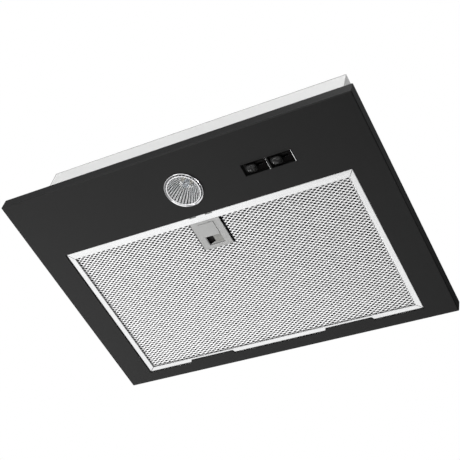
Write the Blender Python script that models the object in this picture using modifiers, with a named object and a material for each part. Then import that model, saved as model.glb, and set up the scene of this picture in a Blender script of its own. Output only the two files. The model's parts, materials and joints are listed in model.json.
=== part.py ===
"""Built-in kitchen extractor hood, the insert that fits in a canopy above a hob.

A black pressed-steel panel with an upturned rim carries a light grey body. The panel holds a round lamp,
two slide switches and one large grease filter with a finger latch. Inside the body a flat radial fan draws
the air up through the filter and blows it out of the spigot on top, past two non-return flaps.

Metres, +Z up, +X to the right and -Y to the front for someone facing the controls. The origin is at the
middle of the panel, level with the tips of the switch knobs, which are the lowest points.
"""

import math

import bmesh
import bpy
from mathutils import Matrix, Vector

# Clearances
GAP = 0.0003
SHEET = 0.001

# Canopy panel
PANEL_WIDTH = 0.530
PANEL_DEPTH = 0.370
PANEL_Z = 0.0035
PANEL_TOP = PANEL_Z + SHEET
RIM_HEIGHT = 0.018
FOLD_RADIUS = 0.0015

# Body shell
BODY_X = 0.233
BODY_FRONT = -0.153
BODY_REAR = 0.1705
BODY_TOP = PANEL_Z + 0.110
BODY_BOTTOM = PANEL_TOP + GAP
FLANGE_WIDTH = 0.012
REAR_FLANGE = 0.010
STUD_X = BODY_X + 0.0065
STUD_Y = 0.095
STUD_RADIUS = 0.0018

# Angle brackets that screw to the cabinet
BRACKET_LOW = 0.024
BRACKET_HIGH = BRACKET_LOW + 0.035
BRACKET_SHEET = 0.0015
BRACKET_Y = 0.030
BRACKET_REACH = BODY_X + 0.026
SCREW_HOLE_RADIUS = 0.0021

# Grease filter
FILTER_X = 0.2215
FILTER_FRONT = -0.0803
FILTER_REAR = 0.166
FILTER_Z = PANEL_TOP + GAP
FILTER_HEIGHT = 0.0095
FILTER_SHEET = 0.0008
FRONT_RAIL = 0.011
SIDE_RAIL = 0.0087
REAR_RAIL = 0.0076
MESH_Z = FILTER_Z + 0.0040
MESH_THICKNESS = 0.0008
OPENING_GAP = 0.0008

# Tongues of the panel that carry the filter's rear edge
TONGUE_X = 0.111
TONGUE_WIDTH = 0.073
TONGUE_SLANT = 0.0024
TONGUE_TIP = FILTER_REAR - 0.0043

# Filter latch
LATCH_PLATE_X = 0.022
LATCH_PLATE_REAR = -0.0225
LATCH_PLATE_THICKNESS = 0.0012
LATCH_BOX_X = 0.0165
BUTTON_X = 0.0117
BUTTON_FRONT = -0.0650
BUTTON_REAR = -0.0433
POCKET_REAR = -0.0283
LATCH_TRAVEL = 0.0050
LATCH_TRACK_REAR = -0.0232
LATCH_TRACK_TOP = FILTER_Z + 0.0074
SLIDER_X = 0.0145
SLIDER_Z = FILTER_Z + LATCH_PLATE_THICKNESS + GAP
SLIDER_TOP = SLIDER_Z + 0.0022
SLIDER_REAR = LATCH_TRACK_REAR - LATCH_TRAVEL - GAP
SPRING_X = 0.0070
SPRING_START = -0.0490
BOLT_INNER = 0.0075
BOLT_OUTER = 0.0175
BOLT_REACH = 0.0030
BOLT_ROOT = 0.0036

# Lamp
LAMP_Y = -0.125
LAMP_RING_RADIUS = 0.027
LAMP_RADIUS = 0.0240

# Switches
SWITCH_Y = -0.12525
WINDOW_DEPTH = 0.0185
LIGHT_WINDOW = (0.0888, 0.1238)
FAN_WINDOW = (0.1268, 0.1600)
BEZEL_MARGIN = 0.0018
SWITCH_FLOOR_Z = PANEL_Z + 0.0050
KNOB_LENGTH = 0.0148
KNOB_DEPTH = 0.0120
KNOB_CORNER = 0.0052
LIGHT_KNOB_X = 0.1010
FAN_KNOB_X = 0.1370
KNOB_TRAVEL = 0.0120

# Fan
FAN_X = -0.060
FAN_Y = 0.023
SCROLL_SMALL = 0.080
SCROLL_LARGE = 0.122
SCROLL_CUTOFF = math.radians(40)
SCROLL_Z = 0.034
SCROLL_TOP = 0.0987
SCROLL_WALL = 0.0012
COVER_TOP = SCROLL_TOP + GAP + 0.0012
PLENUM_RADIUS = 0.066
INLET_RADIUS = 0.052
WHEEL_RADIUS = 0.074
WHEEL_Z = 0.040
WHEEL_TOP = 0.090
BLADES = 24
CUP_RADIUS = 0.042
CUP_Z = 0.056
MOTOR_RADIUS = 0.038
MOTOR_Z = 0.0605
SHAFT_RADIUS = 0.003
MOTOR_PLATE_Z = 0.1056
MOTOR_PLATE = 0.0015
MOUNT_RADIUS = 0.058

# Outlet
SPIGOT_X = 0.125
SPIGOT_Y = 0.070
SPIGOT_RADIUS = 0.060
SPIGOT_WALL = 0.0016
SPIGOT_TOP = 0.172
SPIGOT_FLANGE = 0.070
FLAP_Z = 0.1205
FLAP_RADIUS = 0.0565
PIN_RADIUS = 0.0015

# Terminal box, cables and the sheet that screens the controls
BOX_LOW = (-0.205, 0.052)
BOX_HIGH = (-0.115, 0.112)
BOX_HEIGHT = 0.024
CABLE_Y = 0.082
CABLE_RISE = 0.012
CABLE_HOLE_X = -0.160
CABLE_HOLE_RADIUS = 0.006
GLAND_RADIUS = 0.0065
CONTROL_COVER = (-0.070, 0.195, -0.1515, -0.0850)

# name: (colour, roughness, metallic)
FINISHES = {
    "black_enamel": ((0.022, 0.022, 0.023), 0.42, 0.0),
    "grey_enamel": ((0.72, 0.72, 0.71), 0.45, 0.0),
    "aluminium": ((0.86, 0.87, 0.88), 0.28, 1.0),
    "mesh_aluminium": ((0.80, 0.82, 0.84), 0.22, 1.0),
    "zinc_steel": ((0.58, 0.59, 0.60), 0.35, 1.0),
    "chrome": ((0.92, 0.92, 0.93), 0.06, 1.0),
    "glass": ((0.95, 0.97, 0.98), 0.02, 0.0),
    "ceramic": ((0.86, 0.84, 0.80), 0.55, 0.0),
    "black_plastic": ((0.010, 0.010, 0.011), 0.18, 0.0),
    "grey_plastic": ((0.45, 0.45, 0.44), 0.40, 0.0),
    "fan_plastic": ((0.08, 0.08, 0.085), 0.50, 0.0),
    "white_plastic": ((0.80, 0.80, 0.78), 0.40, 0.0),
    "rubber": ((0.02, 0.02, 0.02), 0.80, 0.0),
}

parts = bpy.data.collections.new("extractor_hood")
cutters = bpy.data.collections.new("cutters")


# ---------------------------------------------------------------- helpers


def clear_scene():
    for obj in list(bpy.data.objects):
        bpy.data.objects.remove(obj, do_unlink=True)
    bpy.context.scene.collection.children.link(parts)
    bpy.context.scene.collection.children.link(cutters)
    cutters.hide_render = True


def painted(obj, finish):
    """Gives the object its own Principled material."""
    colour, roughness, metallic = FINISHES[finish]
    material = bpy.data.materials.new(obj.name)
    material.use_nodes = True
    shader = material.node_tree.nodes["Principled BSDF"]
    shader.inputs["Base Color"].default_value = (*colour, 1.0)
    shader.inputs["Roughness"].default_value = roughness
    shader.inputs["Metallic"].default_value = metallic
    if finish == "glass":
        shader.inputs["Transmission Weight"].default_value = 0.9
    obj.data.materials.append(material)


def filed(name, data, finish):
    """A new object in the parts, or among the cutters when it has no finish."""
    obj = bpy.data.objects.new(name, data)
    if finish is None:
        cutters.objects.link(obj)
        obj.hide_render = True
        obj.display_type = "WIRE"
    else:
        parts.objects.link(obj)
        painted(obj, finish)
    return obj


def from_bmesh(name, bm, centre, finish):
    mesh = bpy.data.meshes.new(name)
    bm.to_mesh(mesh)
    bm.free()
    obj = filed(name, mesh, finish)
    obj.location = centre
    return obj


def box(name, low, high, finish=None):
    low, high = Vector(low), Vector(high)
    bm = bmesh.new()
    bmesh.ops.create_cube(bm, size=1.0)
    bmesh.ops.scale(bm, vec=high - low, verts=bm.verts)
    return from_bmesh(name, bm, (low + high) / 2, finish)


def cylinder(name, base, radius, height, finish=None, segments=32, axis="Z"):
    """A cylinder from its base's middle along +axis."""
    bm = bmesh.new()
    bmesh.ops.create_cone(
        bm, cap_ends=True, segments=segments, radius1=radius, radius2=radius, depth=height
    )
    turn = {"X": Matrix.Rotation(math.pi / 2, 4, "Y"), "Y": Matrix.Rotation(-math.pi / 2, 4, "X")}
    along = {"X": (1, 0, 0), "Y": (0, 1, 0), "Z": (0, 0, 1)}[axis]
    if axis in turn:
        bmesh.ops.transform(bm, matrix=turn[axis], verts=bm.verts)
    obj = from_bmesh(name, bm, Vector(base) + Vector(along) * height / 2, finish)
    smooth(obj)
    return obj


def smooth(obj):
    obj.data.shade_smooth()
    obj.data.set_sharp_from_angle(angle=math.radians(35))


def lathe(name, profile, centre, finish=None, segments=32, closed=True):
    """Turns a profile of (radius, height) points, outer side first and downwards, about +Z."""
    mesh = bpy.data.meshes.new(name)
    edges = [(i, i + 1) for i in range(len(profile) - 1)]
    if closed:
        edges.append((len(profile) - 1, 0))
    mesh.from_pydata([(r, 0.0, z) for r, z in profile], edges, [])
    obj = filed(name, mesh, finish)
    obj.location = centre
    turn = obj.modifiers.new("turn", "SCREW")
    turn.steps = segments
    turn.render_steps = segments
    turn.use_merge_vertices = True
    turn.merge_threshold = 0.00001
    turn.use_smooth_shade = True
    return obj


def prism(name, outline, low, high, finish=None):
    """A flat outline of (x, y) points raised from z low to z high."""
    curve = bpy.data.curves.new(name, "CURVE")
    curve.dimensions = "2D"
    curve.fill_mode = "BOTH"
    curve.extrude = (high - low) / 2
    spline = curve.splines.new("POLY")
    spline.points.add(len(outline) - 1)
    for point, (x, y) in zip(spline.points, outline):
        point.co = (x, y, 0.0, 1.0)
    spline.use_cyclic_u = True
    drawn = bpy.data.objects.new(name + "_outline", curve)
    cutters.objects.link(drawn)
    bpy.context.view_layer.update()
    graph = bpy.context.evaluated_depsgraph_get()
    mesh = bpy.data.meshes.new_from_object(drawn.evaluated_get(graph))
    bpy.data.objects.remove(drawn)
    bm = bmesh.new()
    bm.from_mesh(mesh)
    bpy.data.meshes.remove(mesh)
    bmesh.ops.remove_doubles(bm, verts=bm.verts, dist=0.00001)
    bmesh.ops.recalc_face_normals(bm, faces=bm.faces)
    bmesh.ops.translate(bm, vec=(0, 0, (low + high) / 2), verts=bm.verts)
    return from_bmesh(name, bm, (0, 0, 0), finish)


def wire(name, points, radius, finish):
    """A round cable through the points, with closed ends."""
    curve = bpy.data.curves.new(name, "CURVE")
    curve.dimensions = "3D"
    curve.bevel_depth = radius
    curve.bevel_resolution = 2
    curve.use_fill_caps = True
    spline = curve.splines.new("POLY")
    spline.points.add(len(points) - 1)
    for point, place in zip(spline.points, points):
        point.co = (*place, 1.0)
    return filed(name, curve, finish)


def boolean(target, other, operation):
    step = target.modifiers.new(operation.lower() + "_" + other.name, "BOOLEAN")
    step.operation = operation
    step.object = other


def cut(target, *others):
    for other in others:
        boolean(target, other, "DIFFERENCE")


def join(target, *others):
    for other in others:
        boolean(target, other, "UNION")


def rectangle(x0, x1, y0, y1):
    return [(x0, y0), (x1, y0), (x1, y1), (x0, y1)]


def rounded_rectangle(x0, x1, y0, y1, radius, steps=4):
    """A rectangle's outline with round corners, anticlockwise."""
    middles = [
        (x1 - radius, y1 - radius, 0),
        (x0 + radius, y1 - radius, 90),
        (x0 + radius, y0 + radius, 180),
        (x1 - radius, y0 + radius, 270),
    ]
    outline = []
    for mx, my, start in middles:
        for k in range(steps + 1):
            angle = math.radians(start + 90 * k / steps)
            outline.append((mx + radius * math.cos(angle), my + radius * math.sin(angle)))
    return outline


def joint_axis(name, place, *pieces):
    """An empty on a joint's axis that carries the pieces that move with it."""
    empty = bpy.data.objects.new(name, None)
    parts.objects.link(empty)
    empty.location = place
    for piece in pieces:
        piece.parent = empty
        piece.matrix_parent_inverse = Matrix.Translation(-Vector(place))
    return empty


def pan_screw(name, place, turned=None, length=0.005):
    """A pan-head screw: place is under its head, and its shank runs down from there, before turning."""
    head, rise, shank = 0.0036, 0.0022, 0.0016
    arm, narrow = 0.0018, 0.0004
    profile = [
        (0.0, rise),
        (head * 0.55, rise * 0.92),
        (head * 0.9, rise * 0.6),
        (head, 0.0),
        (shank, 0.0),
        (shank, -length),
        (0.0, -length - 0.0008),
    ]
    screw = lathe(name, profile, place, "zinc_steel", segments=14, closed=False)
    low, high = rise - 0.0009, rise + 0.001
    long_arm = box(name + "_slot", (-arm, -narrow, low), (arm, narrow, high))
    cross_arm = box(name + "_cross", (-narrow, -arm, low), (narrow, arm, high))
    join(long_arm, cross_arm)
    for recess in (long_arm, cross_arm):
        recess.location = Vector(recess.location) + Vector(place)
    cut(screw, long_arm)
    if turned is not None:
        about = Matrix.Translation(place) @ turned @ Matrix.Translation(-Vector(place))
        for obj in (screw, long_arm, cross_arm):
            obj.matrix_world = about @ Matrix.Translation(obj.location)
    return screw


# ---------------------------------------------------------------- panel and body


def opening_outline():
    """The filter opening in the panel, with the two tongues reaching in from its rear edge."""
    x = FILTER_X + OPENING_GAP
    front, rear = FILTER_FRONT - OPENING_GAP, FILTER_REAR + OPENING_GAP
    half, slant = TONGUE_WIDTH / 2, TONGUE_SLANT / 2
    outline = [(-x, front), (x, front), (x, rear)]
    for middle in (TONGUE_X, -TONGUE_X):
        outline += [
            (middle + half + slant, rear),
            (middle + half - slant, TONGUE_TIP),
            (middle - half + slant, TONGUE_TIP),
            (middle - half - slant, rear),
        ]
    return outline + [(-x, rear)]


def build_panel():
    bm = bmesh.new()
    bmesh.ops.create_cube(bm, size=1.0)
    bmesh.ops.scale(bm, vec=(PANEL_WIDTH, PANEL_DEPTH, RIM_HEIGHT), verts=bm.verts)
    lid = [face for face in bm.faces if face.normal.z > 0.5]
    bmesh.ops.delete(bm, geom=lid, context="FACES_ONLY")
    panel = from_bmesh("canopy_panel", bm, (0, 0, PANEL_Z + RIM_HEIGHT / 2), "black_enamel")
    fold = panel.modifiers.new("fold", "BEVEL")
    fold.width = FOLD_RADIUS
    fold.segments = 2
    sheet = panel.modifiers.new("sheet", "SOLIDIFY")
    sheet.thickness = SHEET
    sheet.offset = -1
    cut(
        panel,
        prism("filter_opening", opening_outline(), -0.01, 0.01),
        cylinder("lamp_hole", (0, LAMP_Y, -0.01), 0.0258, 0.03),
        box(
            "switch_opening",
            (LIGHT_WINDOW[0] - 0.0008, SWITCH_Y - WINDOW_DEPTH / 2 - 0.0008, -0.01),
            (FAN_WINDOW[1] + 0.0008, SWITCH_Y + WINDOW_DEPTH / 2 + 0.0008, 0.01),
        ),
    )
    box(
        "latch_keeper",
        (-0.030, FILTER_FRONT - 0.014, PANEL_TOP + GAP),
        (0.030, FILTER_FRONT - 0.0012, PANEL_TOP + GAP + 0.0011),
        "zinc_steel",
    )


def build_body():
    low, high = (-BODY_X, BODY_FRONT, BODY_BOTTOM), (BODY_X, BODY_REAR, BODY_TOP)
    shell = box("body_shell", low, high, "grey_enamel")
    edge = shell.modifiers.new("folds", "BEVEL")
    edge.width = 0.0012
    edge.segments = 2
    flange = box(
        "body_flange",
        (-BODY_X - FLANGE_WIDTH, BODY_FRONT - FLANGE_WIDTH, BODY_BOTTOM),
        (BODY_X + FLANGE_WIDTH, BODY_REAR + REAR_FLANGE, BODY_BOTTOM + SHEET),
    )
    hollow = box(
        "body_hollow",
        (-BODY_X + SHEET, BODY_FRONT + SHEET, -0.01),
        (BODY_X - SHEET, BODY_REAR - SHEET, BODY_TOP - SHEET),
    )
    outlet_place = (SPIGOT_X, SPIGOT_Y, BODY_TOP - 0.01)
    cable_place = (CABLE_HOLE_X, CABLE_Y, BODY_TOP - 0.01)
    join(shell, flange)
    cut(
        shell,
        hollow,
        cylinder("outlet_hole", outlet_place, SPIGOT_RADIUS + 0.0008, 0.03, segments=40),
        cylinder("cable_hole", cable_place, CABLE_HOLE_RADIUS, 0.03, segments=16),
    )
    corners = [(side_x, side_y) for side_x in (-1, 1) for side_y in (-1, 1)]
    for number, (side_x, side_y) in enumerate(corners, 1):
        x, y = side_x * STUD_X, side_y * STUD_Y
        hole = cylinder(f"stud_hole_{number}", (x, y, -0.01), STUD_RADIUS + 0.0005, 0.03, segments=12)
        cut(shell, hole)
        stud_place = (x, y, BODY_BOTTOM)
        nut_place = (x, y, BODY_BOTTOM + SHEET + GAP)
        stud = cylinder(f"flange_nut_{number}", stud_place, STUD_RADIUS, 0.0085, "zinc_steel", segments=12)
        join(stud, cylinder(f"nut_body_{number}", nut_place, 0.004, 0.0032, segments=6))
    build_brackets(shell)


def build_brackets(shell):
    """Angle brackets on the body's sides that screw to the cabinet."""
    for name, side in (("cabinet_bracket_left", -1), ("cabinet_bracket_right", 1)):
        inner, outer = side * (BODY_X + GAP), side * (BODY_X + GAP + BRACKET_SHEET)
        x0, x1 = sorted((inner, outer))
        bracket = box(name, (x0, -BRACKET_Y, BRACKET_LOW), (x1, BRACKET_Y, BRACKET_HIGH), "zinc_steel")
        x0, x1 = sorted((inner, side * BRACKET_REACH))
        shelf_top = BRACKET_LOW + BRACKET_SHEET
        join(bracket, box(name + "_shelf", (x0, -BRACKET_Y, BRACKET_LOW), (x1, BRACKET_Y, shelf_top)))
        middle = side * (BODY_X + 0.014)
        slot = rounded_rectangle(middle - 0.0065, middle + 0.0065, -0.0025, 0.0025, 0.00249, 3)
        screw_z = BRACKET_LOW + 0.021
        hole_start = BODY_X - 0.008 if side > 0 else -BODY_X - 0.012
        hole_place = (hole_start, 0.0, screw_z)
        hole = cylinder(name + "_hole", hole_place, SCREW_HOLE_RADIUS, 0.02, segments=12, axis="X")
        cut(bracket, prism(name + "_slot", slot, BRACKET_LOW - 0.005, BRACKET_LOW + 0.005), hole)
        cut(shell, hole)
        pan_screw(
            name.replace("cabinet_bracket", "bracket_screw"),
            (side * (BODY_X + 2 * GAP + BRACKET_SHEET), 0.0, screw_z),
            Matrix.Rotation(side * math.pi / 2, 4, "Y"),
        )


# ---------------------------------------------------------------- lamp


def build_lamp():
    centre = (0, LAMP_Y, PANEL_Z)
    ring, collar = LAMP_RING_RADIUS, 0.0255
    lathe(
        "light_bezel",
        [
            (collar, 0.012),
            (collar, -GAP),
            (ring, -GAP),
            (ring, -0.0010),
            (ring - 0.0008, -0.0020),
            (LAMP_RADIUS + 0.0008, -0.0020),
            (LAMP_RADIUS + 0.0004, -0.0012),
            (LAMP_RADIUS + 0.0004, 0.012),
        ],
        centre,
        "chrome",
    )
    depth, mouth, neck = 0.022, LAMP_RADIUS, 0.0085
    wall = 0.0012
    steps = 5
    outer, inner = [], []
    for k in range(steps + 1):
        share = k / steps
        radius = neck + (mouth - neck) * math.sqrt(1 - share)
        outer.append((radius, 0.0002 + depth * share))
        inner.append((radius - wall, 0.0002 + depth * share))
    rim = [(mouth, -0.0022), (mouth - wall, -0.0022)]
    lathe("lamp_reflector", outer[::-1] + rim + inner, centre, "chrome")
    lathe(
        "lamp_glass",
        [(0.0, 0.0), (0.0222, 0.0), (0.0222, -0.0012), (0.0, -0.0014)],
        centre,
        "glass",
        closed=False,
    )
    lathe(
        "lamp_capsule",
        [
            (0.0, 0.0240),
            (0.0042, 0.0240),
            (0.0045, 0.0110),
            (0.0036, 0.0080),
            (0.0018, 0.0064),
            (0.0, 0.0060),
        ],
        centre,
        "glass",
        segments=16,
        closed=False,
    )
    base = lathe(
        "lamp_base",
        [(0.0, 0.046), (0.0100, 0.046), (0.0100, 0.030), (0.0125, 0.0245), (0.0, 0.0245)],
        centre,
        "ceramic",
        segments=24,
        closed=False,
    )
    holder = cylinder("lamp_holder", (0, LAMP_Y, PANEL_Z + 0.0465), 0.0135, 0.012, "ceramic", segments=24)
    for number, x in enumerate((-0.005, 0.005), 1):
        pin = cylinder(f"base_pin_{number}", (x, LAMP_Y, PANEL_Z + 0.045), 0.0022, 0.0065, segments=12)
        socket = cylinder(f"holder_socket_{number}", (x, LAMP_Y, PANEL_Z + 0.04), 0.0026, 0.0125, segments=12)
        join(base, pin)
        cut(holder, socket)
    build_lamp_bracket()


def build_lamp_bracket():
    """A bridge over the lamp on two legs with feet, bent from one strip."""
    sheet, top, half_y = 0.0012, 0.0637, 0.009
    y0, y1, low = LAMP_Y - half_y, LAMP_Y + half_y, PANEL_TOP + GAP
    outer, foot_end = 0.034, 0.044
    bracket = box("lamp_bracket", (-outer, y0, top - sheet), (outer, y1, top), "zinc_steel")
    for side in (-1, 1):
        x0, x1 = sorted((side * (outer - sheet), side * outer))
        leg = box(f"lamp_bracket_leg_{side + 1}", (x0, y0, low), (x1, y1, top - sheet / 2))
        x0, x1 = sorted((side * (outer - sheet), side * foot_end))
        foot = box(f"lamp_bracket_foot_{side + 1}", (x0, y0, low), (x1, y1, low + sheet))
        join(bracket, leg, foot)


# ---------------------------------------------------------------- switches


def build_switches():
    x0, x1 = LIGHT_WINDOW[0] - BEZEL_MARGIN, FAN_WINDOW[1] + BEZEL_MARGIN
    y0 = SWITCH_Y - WINDOW_DEPTH / 2 - BEZEL_MARGIN
    y1 = SWITCH_Y + WINDOW_DEPTH / 2 + BEZEL_MARGIN
    back = SWITCH_FLOOR_Z + 0.0015
    bezel = rounded_rectangle(x0, x1, y0, y1, 0.0015, 2)
    housing = prism("switch_housing", bezel, PANEL_Z - 0.0014, PANEL_Z - GAP, "black_plastic")
    tub = box(
        "switch_tub",
        (LIGHT_WINDOW[0] - 0.0005, SWITCH_Y - WINDOW_DEPTH / 2 - 0.0005, PANEL_Z - 0.001),
        (FAN_WINDOW[1] + 0.0005, SWITCH_Y + WINDOW_DEPTH / 2 + 0.0005, back),
    )
    join(housing, tub)
    knobs = (("light", LIGHT_WINDOW, LIGHT_KNOB_X), ("fan", FAN_WINDOW, FAN_KNOB_X))
    for name, window, knob_x in knobs:
        cut(
            housing,
            box(
                name + "_window",
                (window[0], SWITCH_Y - WINDOW_DEPTH / 2, -0.01),
                (window[1], SWITCH_Y + WINDOW_DEPTH / 2, SWITCH_FLOOR_Z),
            ),
            box(
                name + "_slot",
                (knob_x - 0.0035, SWITCH_Y - 0.0020, 0.0),
                (knob_x + KNOB_TRAVEL + 0.0035, SWITCH_Y + 0.0020, 0.05),
            ),
        )
        switch = box(
            name + "_switch",
            (knob_x - 0.0085, SWITCH_Y - 0.0080, back + GAP),
            (knob_x + KNOB_TRAVEL + 0.0085, SWITCH_Y + 0.0080, back + 0.0125),
            "white_plastic",
        )
        cut(
            switch,
            box(
                name + "_switch_slot",
                (knob_x - 0.0035, SWITCH_Y - 0.0020, 0.0),
                (knob_x + KNOB_TRAVEL + 0.0035, SWITCH_Y + 0.0020, back + 0.0070),
            ),
        )
        build_knob(name, knob_x, back)


def build_knob(name, knob_x, back):
    """A slide knob with a rounded cap, on a stem that reaches into the switch."""
    half_x, half_y = KNOB_LENGTH / 2, KNOB_DEPTH / 2
    y0, y1 = SWITCH_Y - half_y, SWITCH_Y + half_y
    outline = rounded_rectangle(knob_x - half_x, knob_x + half_x, y0, y1, KNOB_CORNER, 4)
    knob = prism(name + "_knob", outline, 0.0, SWITCH_FLOOR_Z - 0.0005, "black_plastic")
    dome = knob.modifiers.new("dome", "BEVEL")
    dome.width = 0.0022
    dome.segments = 3
    dome.limit_method = "ANGLE"
    dome.angle_limit = math.radians(60)
    stem = box(
        name + "_stem",
        (knob_x - 0.0030, SWITCH_Y - 0.0015, SWITCH_FLOOR_Z - 0.002),
        (knob_x + 0.0030, SWITCH_Y + 0.0015, back + 0.0060),
    )
    join(knob, stem)
    joint_axis(name + "_knob_slide", (knob_x, SWITCH_Y, PANEL_Z), knob)


# ---------------------------------------------------------------- filter


def build_filter():
    moving = build_filter_frame() + build_filter_media() + [build_latch_plate()]
    slider, spring = build_latch_slider()
    joint_axis("filter_pivot", (0, TONGUE_TIP, FILTER_Z), *moving)
    joint_axis("latch_slide", (0, (BUTTON_FRONT + BUTTON_REAR) / 2, FILTER_Z), slider, spring)


def build_filter_frame():
    """Four folded channels, open inwards, that meet on mitres."""
    x, front, rear = FILTER_X, FILTER_FRONT, FILTER_REAR
    inner_x, inner_front, inner_rear = x - SIDE_RAIL, front + FRONT_RAIL, rear - REAR_RAIL
    g = GAP
    web = FILTER_SHEET
    shapes = {
        "front": [(-x + g, front), (x - g, front), (inner_x - g, inner_front), (-inner_x + g, inner_front)],
        "rear": [(-inner_x + g, inner_rear), (inner_x - g, inner_rear), (x - g, rear), (-x + g, rear)],
        "left": [(-x, front + g), (-inner_x, inner_front + g), (-inner_x, inner_rear - g), (-x, rear - g)],
        "right": [(inner_x, inner_front + g), (x, front + g), (x, rear - g), (inner_x, inner_rear - g)],
    }
    far = 0.05
    hollows = {
        "front": (-x - far, x + far, front + web, inner_front + far),
        "rear": (-x - far, x + far, inner_rear - far, rear - web),
        "left": (-x + web, -inner_x + far, front - far, rear + far),
        "right": (inner_x - far, x - web, front - far, rear + far),
    }
    rails = []
    for side, outline in shapes.items():
        rail = prism(f"filter_rail_{side}", outline, FILTER_Z, FILTER_Z + FILTER_HEIGHT, "aluminium")
        x0, x1, y0, y1 = hollows[side]
        hollow = box(
            f"rail_hollow_{side}",
            (x0, y0, FILTER_Z + FILTER_SHEET),
            (x1, y1, FILTER_Z + FILTER_HEIGHT - FILTER_SHEET),
        )
        cut(rail, hollow)
        rails.append(rail)
    for side in (-1, 1):
        x0, x1 = sorted((side * (BOLT_INNER - 0.0005), side * (BOLT_OUTER + 0.0005)))
        low, high = (x0, front - 0.01, FILTER_Z - 0.001), (x1, front + 0.0012, FILTER_Z + 0.0045)
        cut(rails[0], box(f"bolt_notch_{side + 1}", low, high))
    return rails


def build_filter_media():
    """Outer expanded mesh, packed core and inner mesh, as plain sheets held between the channels' flanges."""
    tuck, latch_room = 0.0035, 0.0028
    x = FILTER_X - SIDE_RAIL + tuck
    front, rear = FILTER_FRONT + FRONT_RAIL - tuck, FILTER_REAR - REAR_RAIL + tuck
    top = FILTER_Z + FILTER_HEIGHT - FILTER_SHEET - GAP
    layers = (
        ("filter_outer_mesh", MESH_Z, MESH_Z + MESH_THICKNESS, "mesh_aluminium"),
        ("filter_core", MESH_Z + MESH_THICKNESS + GAP, top - MESH_THICKNESS - GAP, "zinc_steel"),
        ("filter_inner_mesh", top - MESH_THICKNESS, top, "mesh_aluminium"),
    )
    made = []
    for name, low, high, finish in layers:
        layer = box(name, (-x, front, low), (x, rear, high), finish)
        room = box(
            name + "_cutout",
            (-LATCH_PLATE_X - latch_room, FILTER_FRONT, 0.0),
            (LATCH_PLATE_X + latch_room, LATCH_PLATE_REAR + 0.001, 0.05),
        )
        cut(layer, room)
        made.append(layer)
    return made


def build_latch_plate():
    """The cover plate of the latch, with a narrower box behind it that guides the slider."""
    front = FILTER_FRONT + FRONT_RAIL + GAP
    plate_top = FILTER_Z + LATCH_PLATE_THICKNESS
    plate = box(
        "filter_latch_plate",
        (-LATCH_PLATE_X, front, FILTER_Z),
        (LATCH_PLATE_X, LATCH_PLATE_REAR, plate_top),
        "grey_plastic",
    )
    guide = box(
        "latch_guide",
        (-LATCH_BOX_X, front, FILTER_Z + 0.0005),
        (LATCH_BOX_X, LATCH_PLATE_REAR + 0.0005, FILTER_Z + FILTER_HEIGHT - FILTER_SHEET - GAP),
    )
    join(plate, guide)
    cut(
        plate,
        box(
            "latch_window",
            (-BUTTON_X - 0.0004, BUTTON_FRONT - 0.0004, -0.01),
            (BUTTON_X + 0.0004, POCKET_REAR, plate_top + 0.001),
        ),
        box(
            "latch_track",
            (-LATCH_BOX_X + 0.0012, front - 0.01, plate_top),
            (LATCH_BOX_X - 0.0012, LATCH_TRACK_REAR, LATCH_TRACK_TOP),
        ),
        box(
            "latch_bolt_exit",
            (-BOLT_OUTER - 0.0004, front - 0.01, plate_top),
            (BOLT_OUTER + 0.0004, front + BOLT_ROOT + LATCH_TRAVEL + GAP, FILTER_Z + 0.0050),
        ),
    )
    return plate


def build_latch_slider():
    """Button, finger ledge and two bolts in one moulding, and the spring that pushes it forward."""
    front = FILTER_FRONT + FRONT_RAIL + GAP
    low, high = (-SLIDER_X, front + 0.0008, SLIDER_Z), (SLIDER_X, SLIDER_REAR, SLIDER_TOP)
    slider = box("latch_slider", low, high, "grey_plastic")
    button = prism(
        "latch_button",
        rounded_rectangle(-BUTTON_X, BUTTON_X, BUTTON_FRONT, BUTTON_REAR, 0.0010, 2),
        FILTER_Z - 0.0008,
        SLIDER_Z + 0.0005,
    )
    lug = box(
        "spring_lug",
        (SPRING_X - 0.003, SPRING_START - 0.003, SLIDER_Z + 0.001),
        (SPRING_X + 0.003, SPRING_START - GAP, SLIDER_TOP + 0.0028),
    )
    join(slider, button, lug)
    for side in (-1, 1):
        x0, x1 = sorted((side * BOLT_INNER, side * BOLT_OUTER))
        low, high = (x0, FILTER_FRONT - BOLT_REACH, SLIDER_Z), (x1, front + BOLT_ROOT, SLIDER_TOP)
        join(slider, box(f"latch_bolt_{side + 1}", low, high))
    ledge_edge, ledge_rear = -0.0010, POCKET_REAR - 0.0037
    finger_hole = [
        (-BUTTON_X, BUTTON_REAR),
        (ledge_edge, BUTTON_REAR),
        (ledge_edge, ledge_rear),
        (-BUTTON_X, POCKET_REAR),
    ]
    cut(slider, prism("finger_hole", finger_hole, 0.0, 0.05))
    return slider, build_latch_spring()


def build_latch_spring():
    coils, steps, radius, strand = 9, 6, 0.0012, 0.0002
    rear = LATCH_TRACK_REAR - GAP - strand
    points = []
    for k in range(coils * steps + 1):
        angle = 2 * math.pi * k / steps
        along = SPRING_START + strand + (rear - SPRING_START - strand) * k / (coils * steps)
        x, z = SPRING_X + radius * math.cos(angle), SLIDER_TOP + 0.0017 + radius * math.sin(angle)
        points.append((x, along, z))
    spring = wire("latch_spring", points, strand, "zinc_steel")
    spring.data.bevel_resolution = 0
    return spring


# ---------------------------------------------------------------- fan


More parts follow.
